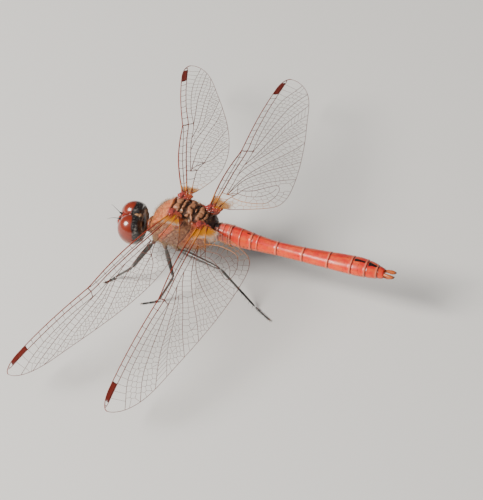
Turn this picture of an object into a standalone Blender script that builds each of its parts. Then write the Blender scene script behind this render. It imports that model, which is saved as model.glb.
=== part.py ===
"""A male ruddy darter dragonfly at rest, life size, standing on its six feet.

The head points along -Y, the tail along +Y and the animal's left side is +X. Lengths are
written in millimetres and angles in degrees; new_object() turns millimetres into metres.
The origin ends up on the floor, under the middle of the wing span and of the length.
"""

import math

import bmesh
import bpy
from mathutils import Matrix, Vector

MM = 0.001

# Overall driving dimensions
SEAM = 0.06
ABDOMEN_START = 4.95
ABDOMEN_SPAN = 22.15
CERCUS_LENGTH = 1.5
FLIGHT_PLATE = 0.5
LIMB_MINIMUM = 0.5
FOOT_HEIGHT = 0.5

# Head: an ellipsoid for each part, trimmed by the planes that part it from its neighbours
HEAD_CENTRE = Vector((0.15, -6.3, 5.72))
HEAD_YAW = 12.0
HEAD_ROLL = 5.0
HEAD_PITCH = 6.0
EYE_CENTRE = Vector((1.27, -0.05, 0.1))
EYE_RADII = Vector((1.6, 1.86, 2.1))
EYE_LEAN = 13.0
BACK_OF_EYES = 1.2
FACE_TOP = Vector((0.15, -1.0, 1.6))
FACE_BOTTOM = Vector((1.2, -1.15, -1.95))
FACE_TAPER = Vector((-0.42, 1.0, 0.0))

# Wings: root, forward sweep, droop at the root, further droop by the tip, and length.
# The stub is the narrow stalk that reaches in from the root to the thorax.
WINGS = {
    "fore": {"root": Vector((1.86, -0.16, 10.96)), "sweep": 24.0, "droop": 5.4, "sag": 5.0,
             "length": 28.6, "bow": 0.5, "nodus": 14.2, "stub": 0.22, "stub_chord": 1.3},
    "hind": {"root": Vector((1.86, 3.52, 10.0)), "sweep": 2.8, "droop": 5.0, "sag": 1.0,
             "length": 27.9, "bow": 0.35, "nodus": 11.4, "stub": 0.26, "stub_chord": 0.9},
}
LEFT_EXTRA_DROOP = 4.0

# Trailing edge of each wing: distance out along the wing, distance back from its front edge
FORE_TRAILING = ((0.0, 1.6), (1.2, 2.9), (2.8, 4.3), (5.0, 5.3), (8.5, 5.95), (13.0, 5.9),
                 (17.5, 5.3), (21.5, 4.55))
HIND_TRAILING = ((0.0, 2.5), (0.9, 5.1), (2.1, 7.6), (3.6, 8.5), (6.0, 8.65), (10.0, 8.25),
                 (15.0, 7.3), (20.5, 5.9))

# Thorax stations: place along Y, lowest Z, highest Z, half width
THORAX_STATIONS = ((-3.62, 5.3, 7.3, 1.0), (-3.3, 4.8, 8.3, 1.6), (-2.6, 4.5, 9.35, 2.05),
                   (-1.5, 4.38, 10.4, 2.32), (-0.1, 4.42, 11.2, 2.46), (1.3, 4.55, 11.1, 2.48),
                   (2.7, 4.85, 10.65, 2.4), (3.9, 5.35, 10.0, 2.15), (4.87, 6.2, 9.0, 1.4))

# Abdomen: ends of the ten segments as distances from its front, and its outline stations
SEGMENT_ENDS = (0.6, 2.3, 5.0, 8.3, 11.75, 15.15, 18.15, 20.0, 21.4, 22.15)
ABDOMEN_STATIONS = ((0.0, 1.0, 1.05, 7.85), (0.6, 1.12, 1.2, 7.85), (2.3, 1.26, 1.3, 7.75),
                    (4.0, 1.16, 1.22, 7.6), (6.5, 0.94, 1.0, 7.45), (9.0, 0.88, 0.9, 7.45),
                    (13.0, 1.05, 0.92, 7.6), (16.5, 1.26, 1.0, 7.8), (19.0, 1.32, 1.06, 7.9),
                    (20.6, 1.1, 0.94, 7.88), (21.6, 0.8, 0.76, 7.8), (22.15, 0.66, 0.62, 7.76))

# Legs: joints of the left legs, and where the right foot and knee differ from a mirror image
LEGS = {
    "fore": {"socket": Vector((0.75, -3.15, 4.72)), "hip": Vector((0.95, -3.3, 4.2)),
             "knee": Vector((5.1, -4.7, 2.9)), "ankle": Vector((5.15, -7.3, 0.3)),
             "toe": Vector((6.5, -8.35, 0.0)), "right_shift": Vector((-0.3, -0.5, 0.0))},
    "mid": {"socket": Vector((0.95, -1.9, 4.38)), "hip": Vector((1.1, -1.85, 3.85)),
            "knee": Vector((5.8, 1.35, 3.95)), "ankle": Vector((7.0, -0.45, 0.3)),
            "toe": Vector((8.2, -2.5, 0.0)), "right_shift": Vector((-0.4, -0.3, 0.0))},
    "hind": {"socket": Vector((0.95, -0.5, 4.36)), "hip": Vector((1.05, -0.3, 3.85)),
             "knee": Vector((2.86, 6.5, 4.3)), "ankle": Vector((4.05, 11.45, 0.3)),
             "toe": Vector((5.5, 14.1, 0.0)), "right_shift": Vector((2.1, -1.5, 0.0))},
}
HEEL = 0.35
FEMUR_RADII = {"fore": 0.32, "mid": 0.33, "hind": 0.34}

COLOURS = {
    "eye": (0.24, 0.06, 0.03, 1.0), "head": (0.42, 0.22, 0.12, 1.0),
    "face": (0.5, 0.09, 0.04, 1.0), "thorax": (0.45, 0.2, 0.1, 1.0),
    "abdomen": (0.62, 0.05, 0.03, 1.0), "wing": (0.78, 0.74, 0.66, 1.0),
    "leg": (0.02, 0.02, 0.022, 1.0), "cercus": (0.6, 0.2, 0.07, 1.0),
}


def clear_scene():
    for item in list(bpy.data.objects):
        bpy.data.objects.remove(item, do_unlink=True)


def material(name):
    made = bpy.data.materials.get(name)
    if made is None:
        made = bpy.data.materials.new(name)
        made.use_nodes = True
        shader = made.node_tree.nodes["Principled BSDF"]
        shader.inputs["Base Color"].default_value = COLOURS[name]
        shader.inputs["Roughness"].default_value = 0.35
        made.diffuse_color = COLOURS[name]
    return made


def new_object(name, mesh_builder, finish):
    """Close a bmesh written in millimetres and add it to the scene in metres."""
    bmesh.ops.recalc_face_normals(mesh_builder, faces=mesh_builder.faces)
    bmesh.ops.scale(mesh_builder, vec=(MM, MM, MM), verts=mesh_builder.verts)
    mesh = bpy.data.meshes.new(name)
    mesh_builder.to_mesh(mesh)
    mesh_builder.free()
    mesh.shade_smooth()
    mesh.set_sharp_from_angle(angle=math.radians(40.0))
    made = bpy.data.objects.new(name, mesh)
    made.data.materials.append(material(finish))
    bpy.context.collection.objects.link(made)
    return made


def through(stations, place):
    """Every column of a table of stations at one place, on a smooth curve through them."""
    last = len(stations) - 1
    index = 0
    while index < last - 1 and place > stations[index + 1][0]:
        index += 1
    before = stations[max(index - 1, 0)]
    start = stations[index]
    end = stations[index + 1]
    after = stations[min(index + 2, last)]
    span = end[0] - start[0]
    t = min(max((place - start[0]) / span, 0.0), 1.0)
    values = []
    for column in range(1, len(start)):
        slope_in = (end[column] - before[column]) / (end[0] - before[0]) * span
        slope_out = (after[column] - start[column]) / (after[0] - start[0]) * span
        values.append((2 * t**3 - 3 * t**2 + 1) * start[column] + (t**3 - 2 * t**2 + t) * slope_in
                      + (3 * t**2 - 2 * t**3) * end[column] + (t**3 - t**2) * slope_out)
    return values


def rounded_section(count, half_width, low, high, power):
    """Points round a rounded section, with its widest place half way up."""
    middle = (low + high) / 2
    half_height = (high - low) / 2
    points = []
    for step in range(count):
        turn = math.tau * (step + 0.5) / count
        across = math.copysign(abs(math.cos(turn)) ** (2 / power), math.cos(turn))
        up = math.copysign(abs(math.sin(turn)) ** (2 / power), math.sin(turn))
        points.append((half_width * across, middle + half_height * up))
    return points


def loft(name, rings, finish):
    """A closed solid through rings that all have the same number of points."""
    shell = bmesh.new()
    loops = [[shell.verts.new(point) for point in ring] for ring in rings]
    for near, far in zip(loops, loops[1:]):
        for step in range(len(near)):
            following = (step + 1) % len(near)
            shell.faces.new((near[step], near[following], far[following], far[step]))
    shell.faces.new(loops[0])
    shell.faces.new(loops[-1])
    return new_object(name, shell, finish)


def trimmed_ellipsoid(name, centre, radii, lean, planes, finish, place, size=(16, 10)):
    """An ellipsoid cut flat by planes, each a point on the plane and its outward normal."""
    columns, rows = size
    turn = Matrix.Rotation(math.radians(lean), 3, "Y")
    shell = bmesh.new()
    bmesh.ops.create_uvsphere(shell, u_segments=columns, v_segments=rows, radius=1.0)
    for vertex in shell.verts:
        reach = turn @ Vector([vertex.co[axis] * radii[axis] for axis in range(3)])
        shrink = 1.0
        for point, normal in planes:
            toward = reach.dot(normal)
            if toward > 1e-9:
                shrink = min(shrink, (point - centre).dot(normal) / toward)
        vertex.co = place @ (centre + reach * shrink)
    return new_object(name, shell, finish)


def mirrored(vector, side):
    return Vector((side * vector.x, vector.y, vector.z))


def head_place():
    turn = (Matrix.Rotation(math.radians(HEAD_YAW), 4, "Z")
            @ Matrix.Rotation(math.radians(HEAD_ROLL), 4, "Y")
            @ Matrix.Rotation(math.radians(HEAD_PITCH), 4, "X"))
    return Matrix.Translation(HEAD_CENTRE) @ turn


def eye_side_normal(side):
    """Normal of the plane that parts the face from an eye, pointing at the eye."""
    down = mirrored(FACE_BOTTOM - FACE_TOP, side)
    inward = mirrored(FACE_TAPER, side)
    normal = down.cross(inward).normalized()
    return normal if normal.x * side > 0 else -normal


def add_head():
    place = head_place()
    middle = Vector((0.0, 0.0, 0.0))
    rear = Vector((0.0, BACK_OF_EYES, 0.0))
    half_seam = SEAM / 2
    for side, label in ((1, "left"), (-1, "right")):
        sideways = Vector((side, 0.0, 0.0))
        normal = eye_side_normal(side)
        face_edge = mirrored(FACE_TOP, side) + normal * half_seam
        planes = [(middle + sideways * half_seam, -sideways), (rear, Vector((0.0, 1.0, 0.0))),
                  (face_edge, -normal)]
        trimmed_ellipsoid(f"eye_{label}", mirrored(EYE_CENTRE, side), EYE_RADII,
                          -side * EYE_LEAN, planes, "eye", place, (22, 14))
    between = []
    for side in (1, -1):
        normal = eye_side_normal(side)
        between.append((mirrored(FACE_TOP, side) - normal * half_seam, normal))
    lip_line = Vector((0.0, 0.0, -0.88))
    brow_line = Vector((0.0, 0.0, 0.9))
    up = Vector((0.0, 0.0, 1.0))
    trimmed_ellipsoid("face", Vector((0.0, -1.25, 0.05)), Vector((1.15, 0.88, 1.15)), 0.0,
                      between + [(lip_line + up * half_seam, -up), (brow_line - up * half_seam, up)],
                      "face", place)
    trimmed_ellipsoid("vertex", Vector((0.0, -1.1, 1.15)), Vector((0.55, 0.5, 0.57)), 0.0,
                      between + [(brow_line + up * half_seam, -up)], "face", place, (12, 8))
    trimmed_ellipsoid("mouth", Vector((0.0, -0.7, -1.38)), Vector((1.4, 1.08, 0.92)), 0.0,
                      between + [(lip_line - up * half_seam, up)], "face", place)
    trimmed_ellipsoid("head", Vector((0.0, 1.34, 0.05)), Vector((2.25, 0.34, 1.75)), 0.0,
                      [(rear + Vector((0.0, SEAM, 0.0)), Vector((0.0, -1.0, 0.0)))], "head", place)
    for side, label in ((1, "left"), (-1, "right")):
        start = place @ Vector((side * 0.4, -1.85, 1.25))
        end = place @ Vector((side * 1.25, -2.9, 2.0))
        add_limb(f"antenna_{label}", start, end, 0.26, 0.25, "leg", 6, 0.0)


def add_neck_and_prothorax():
    height = 6.05
    collar_front = -4.26
    head_back = head_place() @ Vector((0.0, 1.68, 0.3))
    start = Vector((0.03, head_back.y + 2 * SEAM, height))
    add_limb("neck", start, Vector((0.0, collar_front, height)), 0.45, 0.5, "head", 10, 0.0)
    rings = []
    for depth, swell in ((0.0, 0.75), (0.18, 0.98), (0.42, 1.0), (0.56, 0.86)):
        y = collar_front + SEAM + depth
        rings.append([Vector((across, y, up)) for across, up in
                      rounded_section(16, 1.12 * swell, height - swell, height + swell, 2.4)])
    loft("prothorax", rings, "thorax")


def add_thorax():
    first = THORAX_STATIONS[0][0]
    last = THORAX_STATIONS[-1][0]
    steps = 15
    rings = []
    for step in range(steps + 1):
        y = first + (last - first) * (1 - math.cos(math.pi * step / steps)) / 2
        low, high, half_width = through(THORAX_STATIONS, y)
        rings.append([Vector((across, y, height))
                      for across, height in rounded_section(24, half_width, low, high, 2.35)])
    loft("thorax", rings, "thorax")


def abdomen_ring(distance, swell):
    """One ring round the abdomen, ridged along its back and flatter below."""
    half_width, half_height, middle = through(ABDOMEN_STATIONS, distance)
    ring = []
    for across, height in rounded_section(18, half_width * swell, -1.0, 1.0, 2.0):
        ridge = 0.07 * max(0.0, 1 - 3 * abs(across) / half_width)
        lift = height if height > 0 else 0.88 * height
        ring.append(Vector((across, ABDOMEN_START + distance,
                            middle + half_height * swell * (lift + ridge))))
    return ring


def add_abdomen():
    start = 0.0
    for index, end in enumerate(SEGMENT_ENDS):
        length = end - start - SEAM
        rings = []
        for share, swell in ((0.0, 0.95), (0.12, 0.99), (0.5, 1.0), (0.88, 1.01), (1.0, 0.97)):
            rings.append(abdomen_ring(start + SEAM / 2 + share * length, swell))
        loft(f"abdomen_{index + 1}", rings, "abdomen")
        start = end
    base = Matrix.Identity(4)
    belly = Vector((0.0, ABDOMEN_START + 1.7, 6.55))
    trimmed_ellipsoid("hamule", belly - Vector((0.0, 0.0, 0.25)), Vector((0.55, 0.75, 0.55)), 0.0,
                      [(belly, Vector((0.0, 0.0, 1.0)))], "thorax", base, (12, 8))


def add_tail_appendages():
    tip = ABDOMEN_START + ABDOMEN_SPAN
    for side, label in ((1, "left"), (-1, "right")):
        start = Vector((side * 0.33, tip + SEAM, 7.88))
        end = Vector((side * 0.42, tip + CERCUS_LENGTH, 7.98))
        add_limb(f"cercus_{label}", start, end, 0.27, 0.26, "cercus", 8, 0.0)
    start = Vector((0.0, tip + SEAM, 7.3))
    end = Vector((0.0, tip + 0.72 * CERCUS_LENGTH, 7.22))
    add_limb("epiproct", start, end, 0.27, 0.25, "cercus", 8, 0.0)


def front_edge(kind, out):
    """How far the front edge stands back from the wing's axis at a distance out."""
    wing = WINGS[kind]
    share = out / wing["length"]
    bow = -wing["bow"] * math.sin(math.pi * min(out / wing["nodus"], 1.0))
    outer = max(out - wing["nodus"], 0.0) / (wing["length"] - wing["nodus"])
    return bow - 0.3 * math.sin(math.pi * min(outer, 1.0)) + 0.15 * share


def wing_edges(kind, out):
    """Front and back edge of a wing at a distance out, closing on an elliptical tip."""
    wing = WINGS[kind]
    table = FORE_TRAILING if kind == "fore" else HIND_TRAILING
    front = front_edge(kind, out)
    turn = table[-1][0]
    tip_back = 1.1
    if out <= turn:
        return front, through(table, out)[0]
    past = (out - turn) / (wing["length"] - turn)
    taper = (table[-1][1] - table[-2][1]) / (turn - table[-2][0])
    wide = table[-1][1] + taper * (out - turn)
    back = tip_back + (wide - tip_back) * max(1 - past**4, 0.0) ** 0.55
    closing = max(past - 0.62, 0.0) / 0.38
    front = front + (tip_back - front) * (1 - math.sqrt(max(1 - closing**2, 0.0)))
    return front, back


def wing_point(kind, side, out, back):
    """A point of the wing's middle surface in the model's axes."""
    wing = WINGS[kind]
    droop = math.radians(wing["droop"] + (LEFT_EXTRA_DROOP if side > 0 else 0.0))
    bend = math.radians(wing["sag"]) / wing["length"]
    reach = (math.sin(droop + bend * out) - math.sin(droop)) / bend
    fall = (math.cos(droop) - math.cos(droop + bend * out)) / bend
    sweep = math.radians(wing["sweep"])
    x = reach * math.cos(sweep) + back * math.sin(sweep)
    y = -reach * math.sin(sweep) + back * math.cos(sweep)
    root = wing["root"]
    return Vector((side * (root.x + x), root.y + y, root.z - fall))


def add_wing(kind, side, label):
    """A wing as a curved plate of constant thickness, on a short stalk."""
    length = WINGS[kind]["length"]
    steps = 22
    across = 4
    lift = Vector((0.0, 0.0, FLIGHT_PLATE / 2))
    chords = [(-WINGS[kind]["stub"], 0.0, WINGS[kind]["stub_chord"])]
    for step in range(steps + 1):
        out = length * math.sin(math.pi / 2 * step / steps) * 0.999
        chords.append((out, *wing_edges(kind, out)))
    rings = []
    for out, front, back in chords:
        line = [wing_point(kind, side, out, front + (back - front) * k / across)
                for k in range(across + 1)]
        rings.append([point + lift for point in line] + [point - lift for point in reversed(line)])
    loft(f"wing_{kind}_{label}", rings, "wing")


def add_limb(name, start, end, start_radius, end_radius, finish, sides, bow):
    """A tapered limb between two points, with rounded ends and a slight upward bow."""
    axis = (end - start).normalized()
    across = axis.cross(Vector((0.0, 0.0, 1.0))).normalized()
    over = across.cross(axis)
    length = (end - start).length
    ease = min(0.3, 0.2 * length) / length
    rings = []
    for share, swell in ((0.0, 0.6), (ease, 1.0), (0.5, 1.0), (1 - ease, 1.0), (1.0, 0.6)):
        radius = swell * (start_radius + (end_radius - start_radius) * share)
        middle = start.lerp(end, share) + over * (bow * math.sin(math.pi * share))
        ring = []
        for step in range(sides):
            turn = math.tau * step / sides
            ring.append(middle + radius * (across * math.cos(turn) + over * math.sin(turn)))
        rings.append(ring)
    return loft(name, rings, finish)


def ring_on_plane(start, axis, radius, sides, plane_point, normal):
    """A limb's ring where its straight sides meet a plane."""
    across = axis.cross(Vector((0.0, 0.0, 1.0)))
    if across.length < 0.05:
        across = axis.cross(Vector((0.0, 1.0, 0.0)))
    across.normalize()
    over = across.cross(axis)
    ring = []
    for step in range(sides):
        turn = math.tau * step / sides
        side = start + radius * (across * math.cos(turn) + over * math.sin(turn))
        ring.append(side + axis * ((plane_point - side).dot(normal) / axis.dot(normal)))
    return ring


def add_leg_piece(name, start, end, cuts, radii):
    """A straight leg piece between two cutting planes, each a point and a normal."""
    axis = (end - start).normalized()
    rings = [ring_on_plane(start, axis, radii[0], 8, *cuts[0])]
    if (end - start).length > 1.5:
        for share in (0.2, 0.5, 0.8):
            radius = radii[0] + (radii[1] - radii[0]) * share
            rings.append(ring_on_plane(start, axis, radius * 1.04, 8, start.lerp(end, share), axis))
    rings.append(ring_on_plane(start, axis, radii[1], 8, *cuts[1]))
    loft(name, rings, "leg")


def add_foot(name, ankle, toe):
    """A foot lying on the floor: a low bar with a flat underside that starts behind the ankle."""
    heading = Vector((toe.x - ankle.x, toe.y - ankle.y, 0.0))
    across = Vector((-heading.y, heading.x, 0.0)).normalized()
    base = Vector((ankle.x, ankle.y, 0.0)) - heading.normalized() * HEEL
    heading = Vector((toe.x, toe.y, 0.0)) - base
    outline = ((-0.5, 0.0), (0.5, 0.0), (0.5, 0.6), (0.3, 1.0), (-0.3, 1.0), (-0.5, 0.6))
    rings = []
    for share, width, height in ((0.0, 0.5, 0.92), (0.1, 0.56, 1.0), (0.5, 0.52, 1.0),
                                 (0.9, 0.5, 1.0), (1.0, 0.4, 0.75)):
        middle = base + heading * share
        rings.append([middle + across * (x * width) + Vector((0.0, 0.0, z * height * FOOT_HEIGHT))
                      for x, z in outline])
    loft(name, rings, "leg")


def add_leg(kind, side, label):
    """A leg of straight pieces that meet at mitred joints, parted by thin cuts."""
    leg = LEGS[kind]
    shift = leg["right_shift"] if side < 0 else Vector((0.0, 0.0, 0.0))
    joints = []
    for joint, weight in (("socket", 0.0), ("hip", 0.0), ("knee", 0.6), ("ankle", 1.0), ("toe", 1.0)):
        joints.append(mirrored(leg[joint] + shift * weight, side))
    socket, hip, knee, ankle, toe = joints
    half_seam = SEAM / 2
    cuts = [(socket, (hip - socket).normalized())]
    for before, at, after in ((socket, hip, knee), (hip, knee, ankle)):
        cuts.append((at, ((at - before).normalized() + (after - at).normalized()).normalized()))
    up = Vector((0.0, 0.0, 1.0))
    cuts.append((Vector((0.0, 0.0, FOOT_HEIGHT + 1.5 * SEAM)), -up))
    thick = FEMUR_RADII[kind]
    thin = LIMB_MINIMUM / 2
    radii = ((0.4, 0.34), (thick, thick * 0.82), (thin * 1.06, thin))
    for index, piece in enumerate(("coxa", "femur", "tibia")):
        near, near_normal = cuts[index]
        far, far_normal = cuts[index + 1]
        ends = ((near + near_normal * half_seam, near_normal), (far - far_normal * half_seam, far_normal))
        add_leg_piece(f"leg_{kind}_{label}_{piece}", joints[index], joints[index + 1], ends, radii[index])
    add_foot(f"leg_{kind}_{label}_tarsus", ankle, toe)


def settle_on_origin():
    """Hang every object on one empty that puts the model's base centre at the origin."""
    solids = [item for item in bpy.context.collection.objects if item.type == "MESH"]
    corners = [vertex.co for item in solids for vertex in item.data.vertices]
    low = Vector([min(corner[axis] for corner in corners) for axis in range(3)])
    high = Vector([max(corner[axis] for corner in corners) for axis in range(3)])
    frame = bpy.data.objects.new("model_frame", None)
    frame.location = (-(low.x + high.x) / 2, -(low.y + high.y) / 2, -low.z)
    bpy.context.collection.objects.link(frame)
    for item in solids:
        item.parent = frame
    return frame


def build():
    clear_scene()
    add_head()
    add_neck_and_prothorax()
    add_thorax()
    add_abdomen()
    add_tail_appendages()
    for side, label in ((1, "left"), (-1, "right")):
        for kind in WINGS:
            add_wing(kind, side, label)
        for kind in LEGS:
            add_leg(kind, side, label)
    settle_on_origin()


build()
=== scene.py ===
"""The look of the ruddy darter: cuticle, eyes, wings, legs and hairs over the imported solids.

Shapes are worked out in the model's millimetres, with the head along -Y and the left side +X,
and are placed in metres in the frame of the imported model.
"""
import math

import bmesh
import bpy
import numpy as np
from mathutils import Matrix, Vector
from mathutils.geometry import delaunay_2d_cdt


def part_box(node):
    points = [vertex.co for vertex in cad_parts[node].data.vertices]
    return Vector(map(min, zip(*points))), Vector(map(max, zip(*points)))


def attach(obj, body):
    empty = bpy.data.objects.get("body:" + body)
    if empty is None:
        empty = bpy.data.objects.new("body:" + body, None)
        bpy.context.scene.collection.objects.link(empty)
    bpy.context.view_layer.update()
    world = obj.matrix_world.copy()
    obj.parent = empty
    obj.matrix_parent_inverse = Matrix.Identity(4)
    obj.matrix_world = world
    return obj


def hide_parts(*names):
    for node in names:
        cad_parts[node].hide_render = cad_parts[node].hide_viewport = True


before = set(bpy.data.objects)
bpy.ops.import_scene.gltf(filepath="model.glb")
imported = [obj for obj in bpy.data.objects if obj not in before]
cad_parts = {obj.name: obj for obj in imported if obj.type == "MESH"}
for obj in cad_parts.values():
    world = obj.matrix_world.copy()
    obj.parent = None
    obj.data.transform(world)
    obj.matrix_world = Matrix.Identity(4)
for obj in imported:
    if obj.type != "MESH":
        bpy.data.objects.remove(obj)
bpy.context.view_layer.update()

MM = 0.001
TINY = 1e-12
DRAWS = np.random.default_rng(7)
SIDES = ((1, "left"), (-1, "right"))

# ---------------------------------------------------------------- sizes shared with the solids
SEAM = 0.06
ABDOMEN_START = 4.95
ABDOMEN_SPAN = 22.15
CERCUS_LENGTH = 1.5

HEAD_CENTRE = np.array((0.15, -6.3, 5.72))
HEAD_YAW, HEAD_ROLL, HEAD_PITCH = 12.0, 5.0, 6.0
EYE_CENTRE = np.array((1.27, -0.05, 0.1))
EYE_RADII = np.array((1.6, 1.86, 2.1))
EYE_LEAN = 13.0
BACK_OF_EYES = 1.2
FACE_TOP = np.array((0.15, -1.0, 1.6))
FACE_BOTTOM = np.array((1.2, -1.15, -1.95))
FACE_TAPER = np.array((-0.42, 1.0, 0.0))

WINGS = {
    "fore": {"root": (1.86, -0.16, 10.96), "sweep": 24, "droop": 5.4, "sag": 5,
             "length": 28.6, "bow": 0.5, "nodus": 14.2},
    "hind": {"root": (1.86, 3.52, 10), "sweep": 2.8, "droop": 5, "sag": 1,
             "length": 27.9, "bow": 0.35, "nodus": 11.4},
}
LEFT_EXTRA_DROOP = 4.0
TRAILING = {
    "fore": ((0, 1.6), (1.2, 2.9), (2.8, 4.3), (5, 5.3), (8.5, 5.95), (13, 5.9),
             (17.5, 5.3), (21.5, 4.55)),
    "hind": ((0, 2.5), (0.9, 5.1), (2.1, 7.6), (3.6, 8.5), (6, 8.65), (10, 8.25),
             (15, 7.3), (20.5, 5.9)),
}
TIP_BACK = 1.1

LEGS = {
    "fore": {"socket": (0.75, -3.15, 4.72), "hip": (0.95, -3.3, 4.2), "knee": (5.1, -4.7, 2.9),
             "ankle": (5.15, -7.3, 0.3), "toe": (6.5, -8.35, 0), "right_shift": (-0.3, -0.5, 0)},
    "mid": {"socket": (0.95, -1.9, 4.38), "hip": (1.1, -1.85, 3.85), "knee": (5.8, 1.35, 3.95),
            "ankle": (7, -0.45, 0.3), "toe": (8.2, -2.5, 0), "right_shift": (-0.4, -0.3, 0)},
    "hind": {"socket": (0.95, -0.5, 4.36), "hip": (1.05, -0.3, 3.85), "knee": (2.86, 6.5, 4.3),
             "ankle": (4.05, 11.45, 0.3), "toe": (5.5, 14.1, 0), "right_shift": (2.1, -1.5, 0)},
}

first_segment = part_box("abdomen_1")
SHIFT = np.array(((first_segment[0][0] + first_segment[1][0]) / 2 / MM,
                  first_segment[0][1] / MM - ABDOMEN_START - SEAM / 2, 0.0))


# ---------------------------------------------------------------- curves and meshes
def unit(vectors):
    return vectors / (np.linalg.norm(vectors, axis=-1, keepdims=True) + TINY)


def spin(degrees, axis):
    return np.array(Matrix.Rotation(math.radians(degrees), 3, axis))


def smoothstep(low, high, value):
    t = np.clip((value - low) / (high - low), 0.0, 1.0)
    return t * t * (3 - 2 * t)


def fade(low, high, value):
    return 1 - smoothstep(low, high, value)


def window(value, low, high, start, end):
    """Rises from low to high and falls again from start to end."""
    return smoothstep(low, high, value) * fade(start, end, value)


def hill(distance, width):
    return np.exp(-(distance / width) ** 2)


def bent(value, power):
    return np.sign(value) * np.abs(value) ** power


def greatest(parts):
    return np.maximum.reduce(np.broadcast_arrays(*parts))


def stacked(*parts):
    """A grid of points from its coordinates."""
    return np.stack(np.broadcast_arrays(*parts), -1)


def flip(places, side):
    """Places on the left side, moved over to the given side."""
    return np.asarray(places, float) * (side, 1, 1)


def steps_along(path):
    """How far along a polyline each of its points is."""
    return np.r_[0.0, np.cumsum(np.linalg.norm(np.diff(path, axis=0), axis=1))]


def at(where, steps, path):
    """Places on a polyline whose own points are at the given steps."""
    return np.stack([np.interp(where, steps, values) for values in path.T], -1)


def resample(path, count):
    """A polyline with points evenly spaced along it."""
    steps = steps_along(path)
    return at(np.linspace(0.0, steps[-1], count), steps, path)


def smooth_path(points, count):
    """A smooth curve through control points, with evenly spaced points."""
    points = np.array(points, float)
    padded = np.vstack([2 * points[0] - points[1], points, 2 * points[-1] - points[-2]])
    t = np.linspace(0.0, 1.0, 12, endpoint=False)[:, None]
    dense = []
    for k in range(len(points) - 1):
        a, b, c, d = padded[k:k + 4]
        dense.append(0.5 * (2 * b + (c - a) * t + (2 * a - 5 * b + 4 * c - d) * t**2
                            + (3 * b - a - 3 * c + d) * t**3))
    return resample(np.vstack(dense + [points[-1:]]), count)


def through(stations, places):
    """Every column of a table of stations, on a smooth curve through them (Hermite)."""
    x, values = np.split(np.array(stations, float), [1], axis=1)
    x = x[:, 0]
    here = np.clip(np.searchsorted(x, places, side="left") - 1, 0, len(x) - 2)
    before, after = np.maximum(here - 1, 0), np.minimum(here + 2, len(x) - 1)
    span = x[here + 1] - x[here]
    t = np.clip((places - x[here]) / span, 0.0, 1.0)[:, None]
    start, end = values[here], values[here + 1]
    slope_in = (end - values[before]) * (span / (x[here + 1] - x[before]))[:, None]
    slope_out = (values[after] - start) * (span / (x[after] - x[here]))[:, None]
    return ((2 * t**3 - 3 * t**2 + 1) * start + (t**3 - 2 * t**2 + t) * slope_in
            + (3 * t**2 - 2 * t**3) * end + (t**3 - t**2) * slope_out)


def nearest_on(path, points):
    """The spot of a polyline nearest to each point, and its distance."""
    points = np.atleast_2d(points)[:, None]
    ways = np.diff(path, axis=0)
    along = ((points - path[:-1]) * ways).sum(2) / np.maximum((ways**2).sum(1), TINY)
    spots = path[:-1] + np.clip(along, 0.0, 1.0)[..., None] * ways
    gaps = np.linalg.norm(points - spots, axis=2)
    return spots[np.arange(len(gaps)), gaps.argmin(1)], gaps.min(1)


def band(rows, columns, wrap=True):
    """Quads over a grid of points, closed round its columns if wrap."""
    row, column = np.mgrid[:rows - 1, :columns if wrap else columns - 1]
    following = (column + 1) % columns
    return np.stack([row * columns + column, row * columns + following,
                     (row + 1) * columns + following, (row + 1) * columns + column],
                    -1).reshape(-1, 4)


def capped(rows, columns):
    """Faces of a closed tube over a grid of points: its sides and both ends."""
    last = (rows - 1) * columns
    return [*band(rows, columns), range(columns)[::-1], range(last, last + columns)]


def sheet(rows, columns):
    """Faces of a thin closed sheet: upper points, then lower points, joined round the rim."""
    spots = np.arange(rows * columns).reshape(rows, columns)
    quads = band(rows, columns, False)
    rim = np.r_[spots[0], spots[1:, -1], spots[-1, -2::-1], spots[-2:0:-1, 0]]
    after = np.roll(rim, -1)
    walls = np.stack([rim, after, after + spots.size, rim + spots.size], 1)
    return np.vstack([quads, quads[:, ::-1] + spots.size, walls])


def ring_angles(count):
    """Cosine and sine of half-step angles round a skin's cross section."""
    turn = math.tau * (np.arange(count) + 0.5) / count
    return np.cos(turn)[None], np.sin(turn)[None]


def normals_of(grid):
    """Unit normals of a closed grid of points, rows along the body and columns round it."""
    around = np.roll(grid, -1, axis=1) - np.roll(grid, 1, axis=1)
    return unit(np.cross(np.gradient(grid, axis=0), around))


def put_in_scene(name, data):
    item = bpy.data.objects.new(name, data)
    bpy.context.scene.collection.objects.link(item)
    return item


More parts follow.
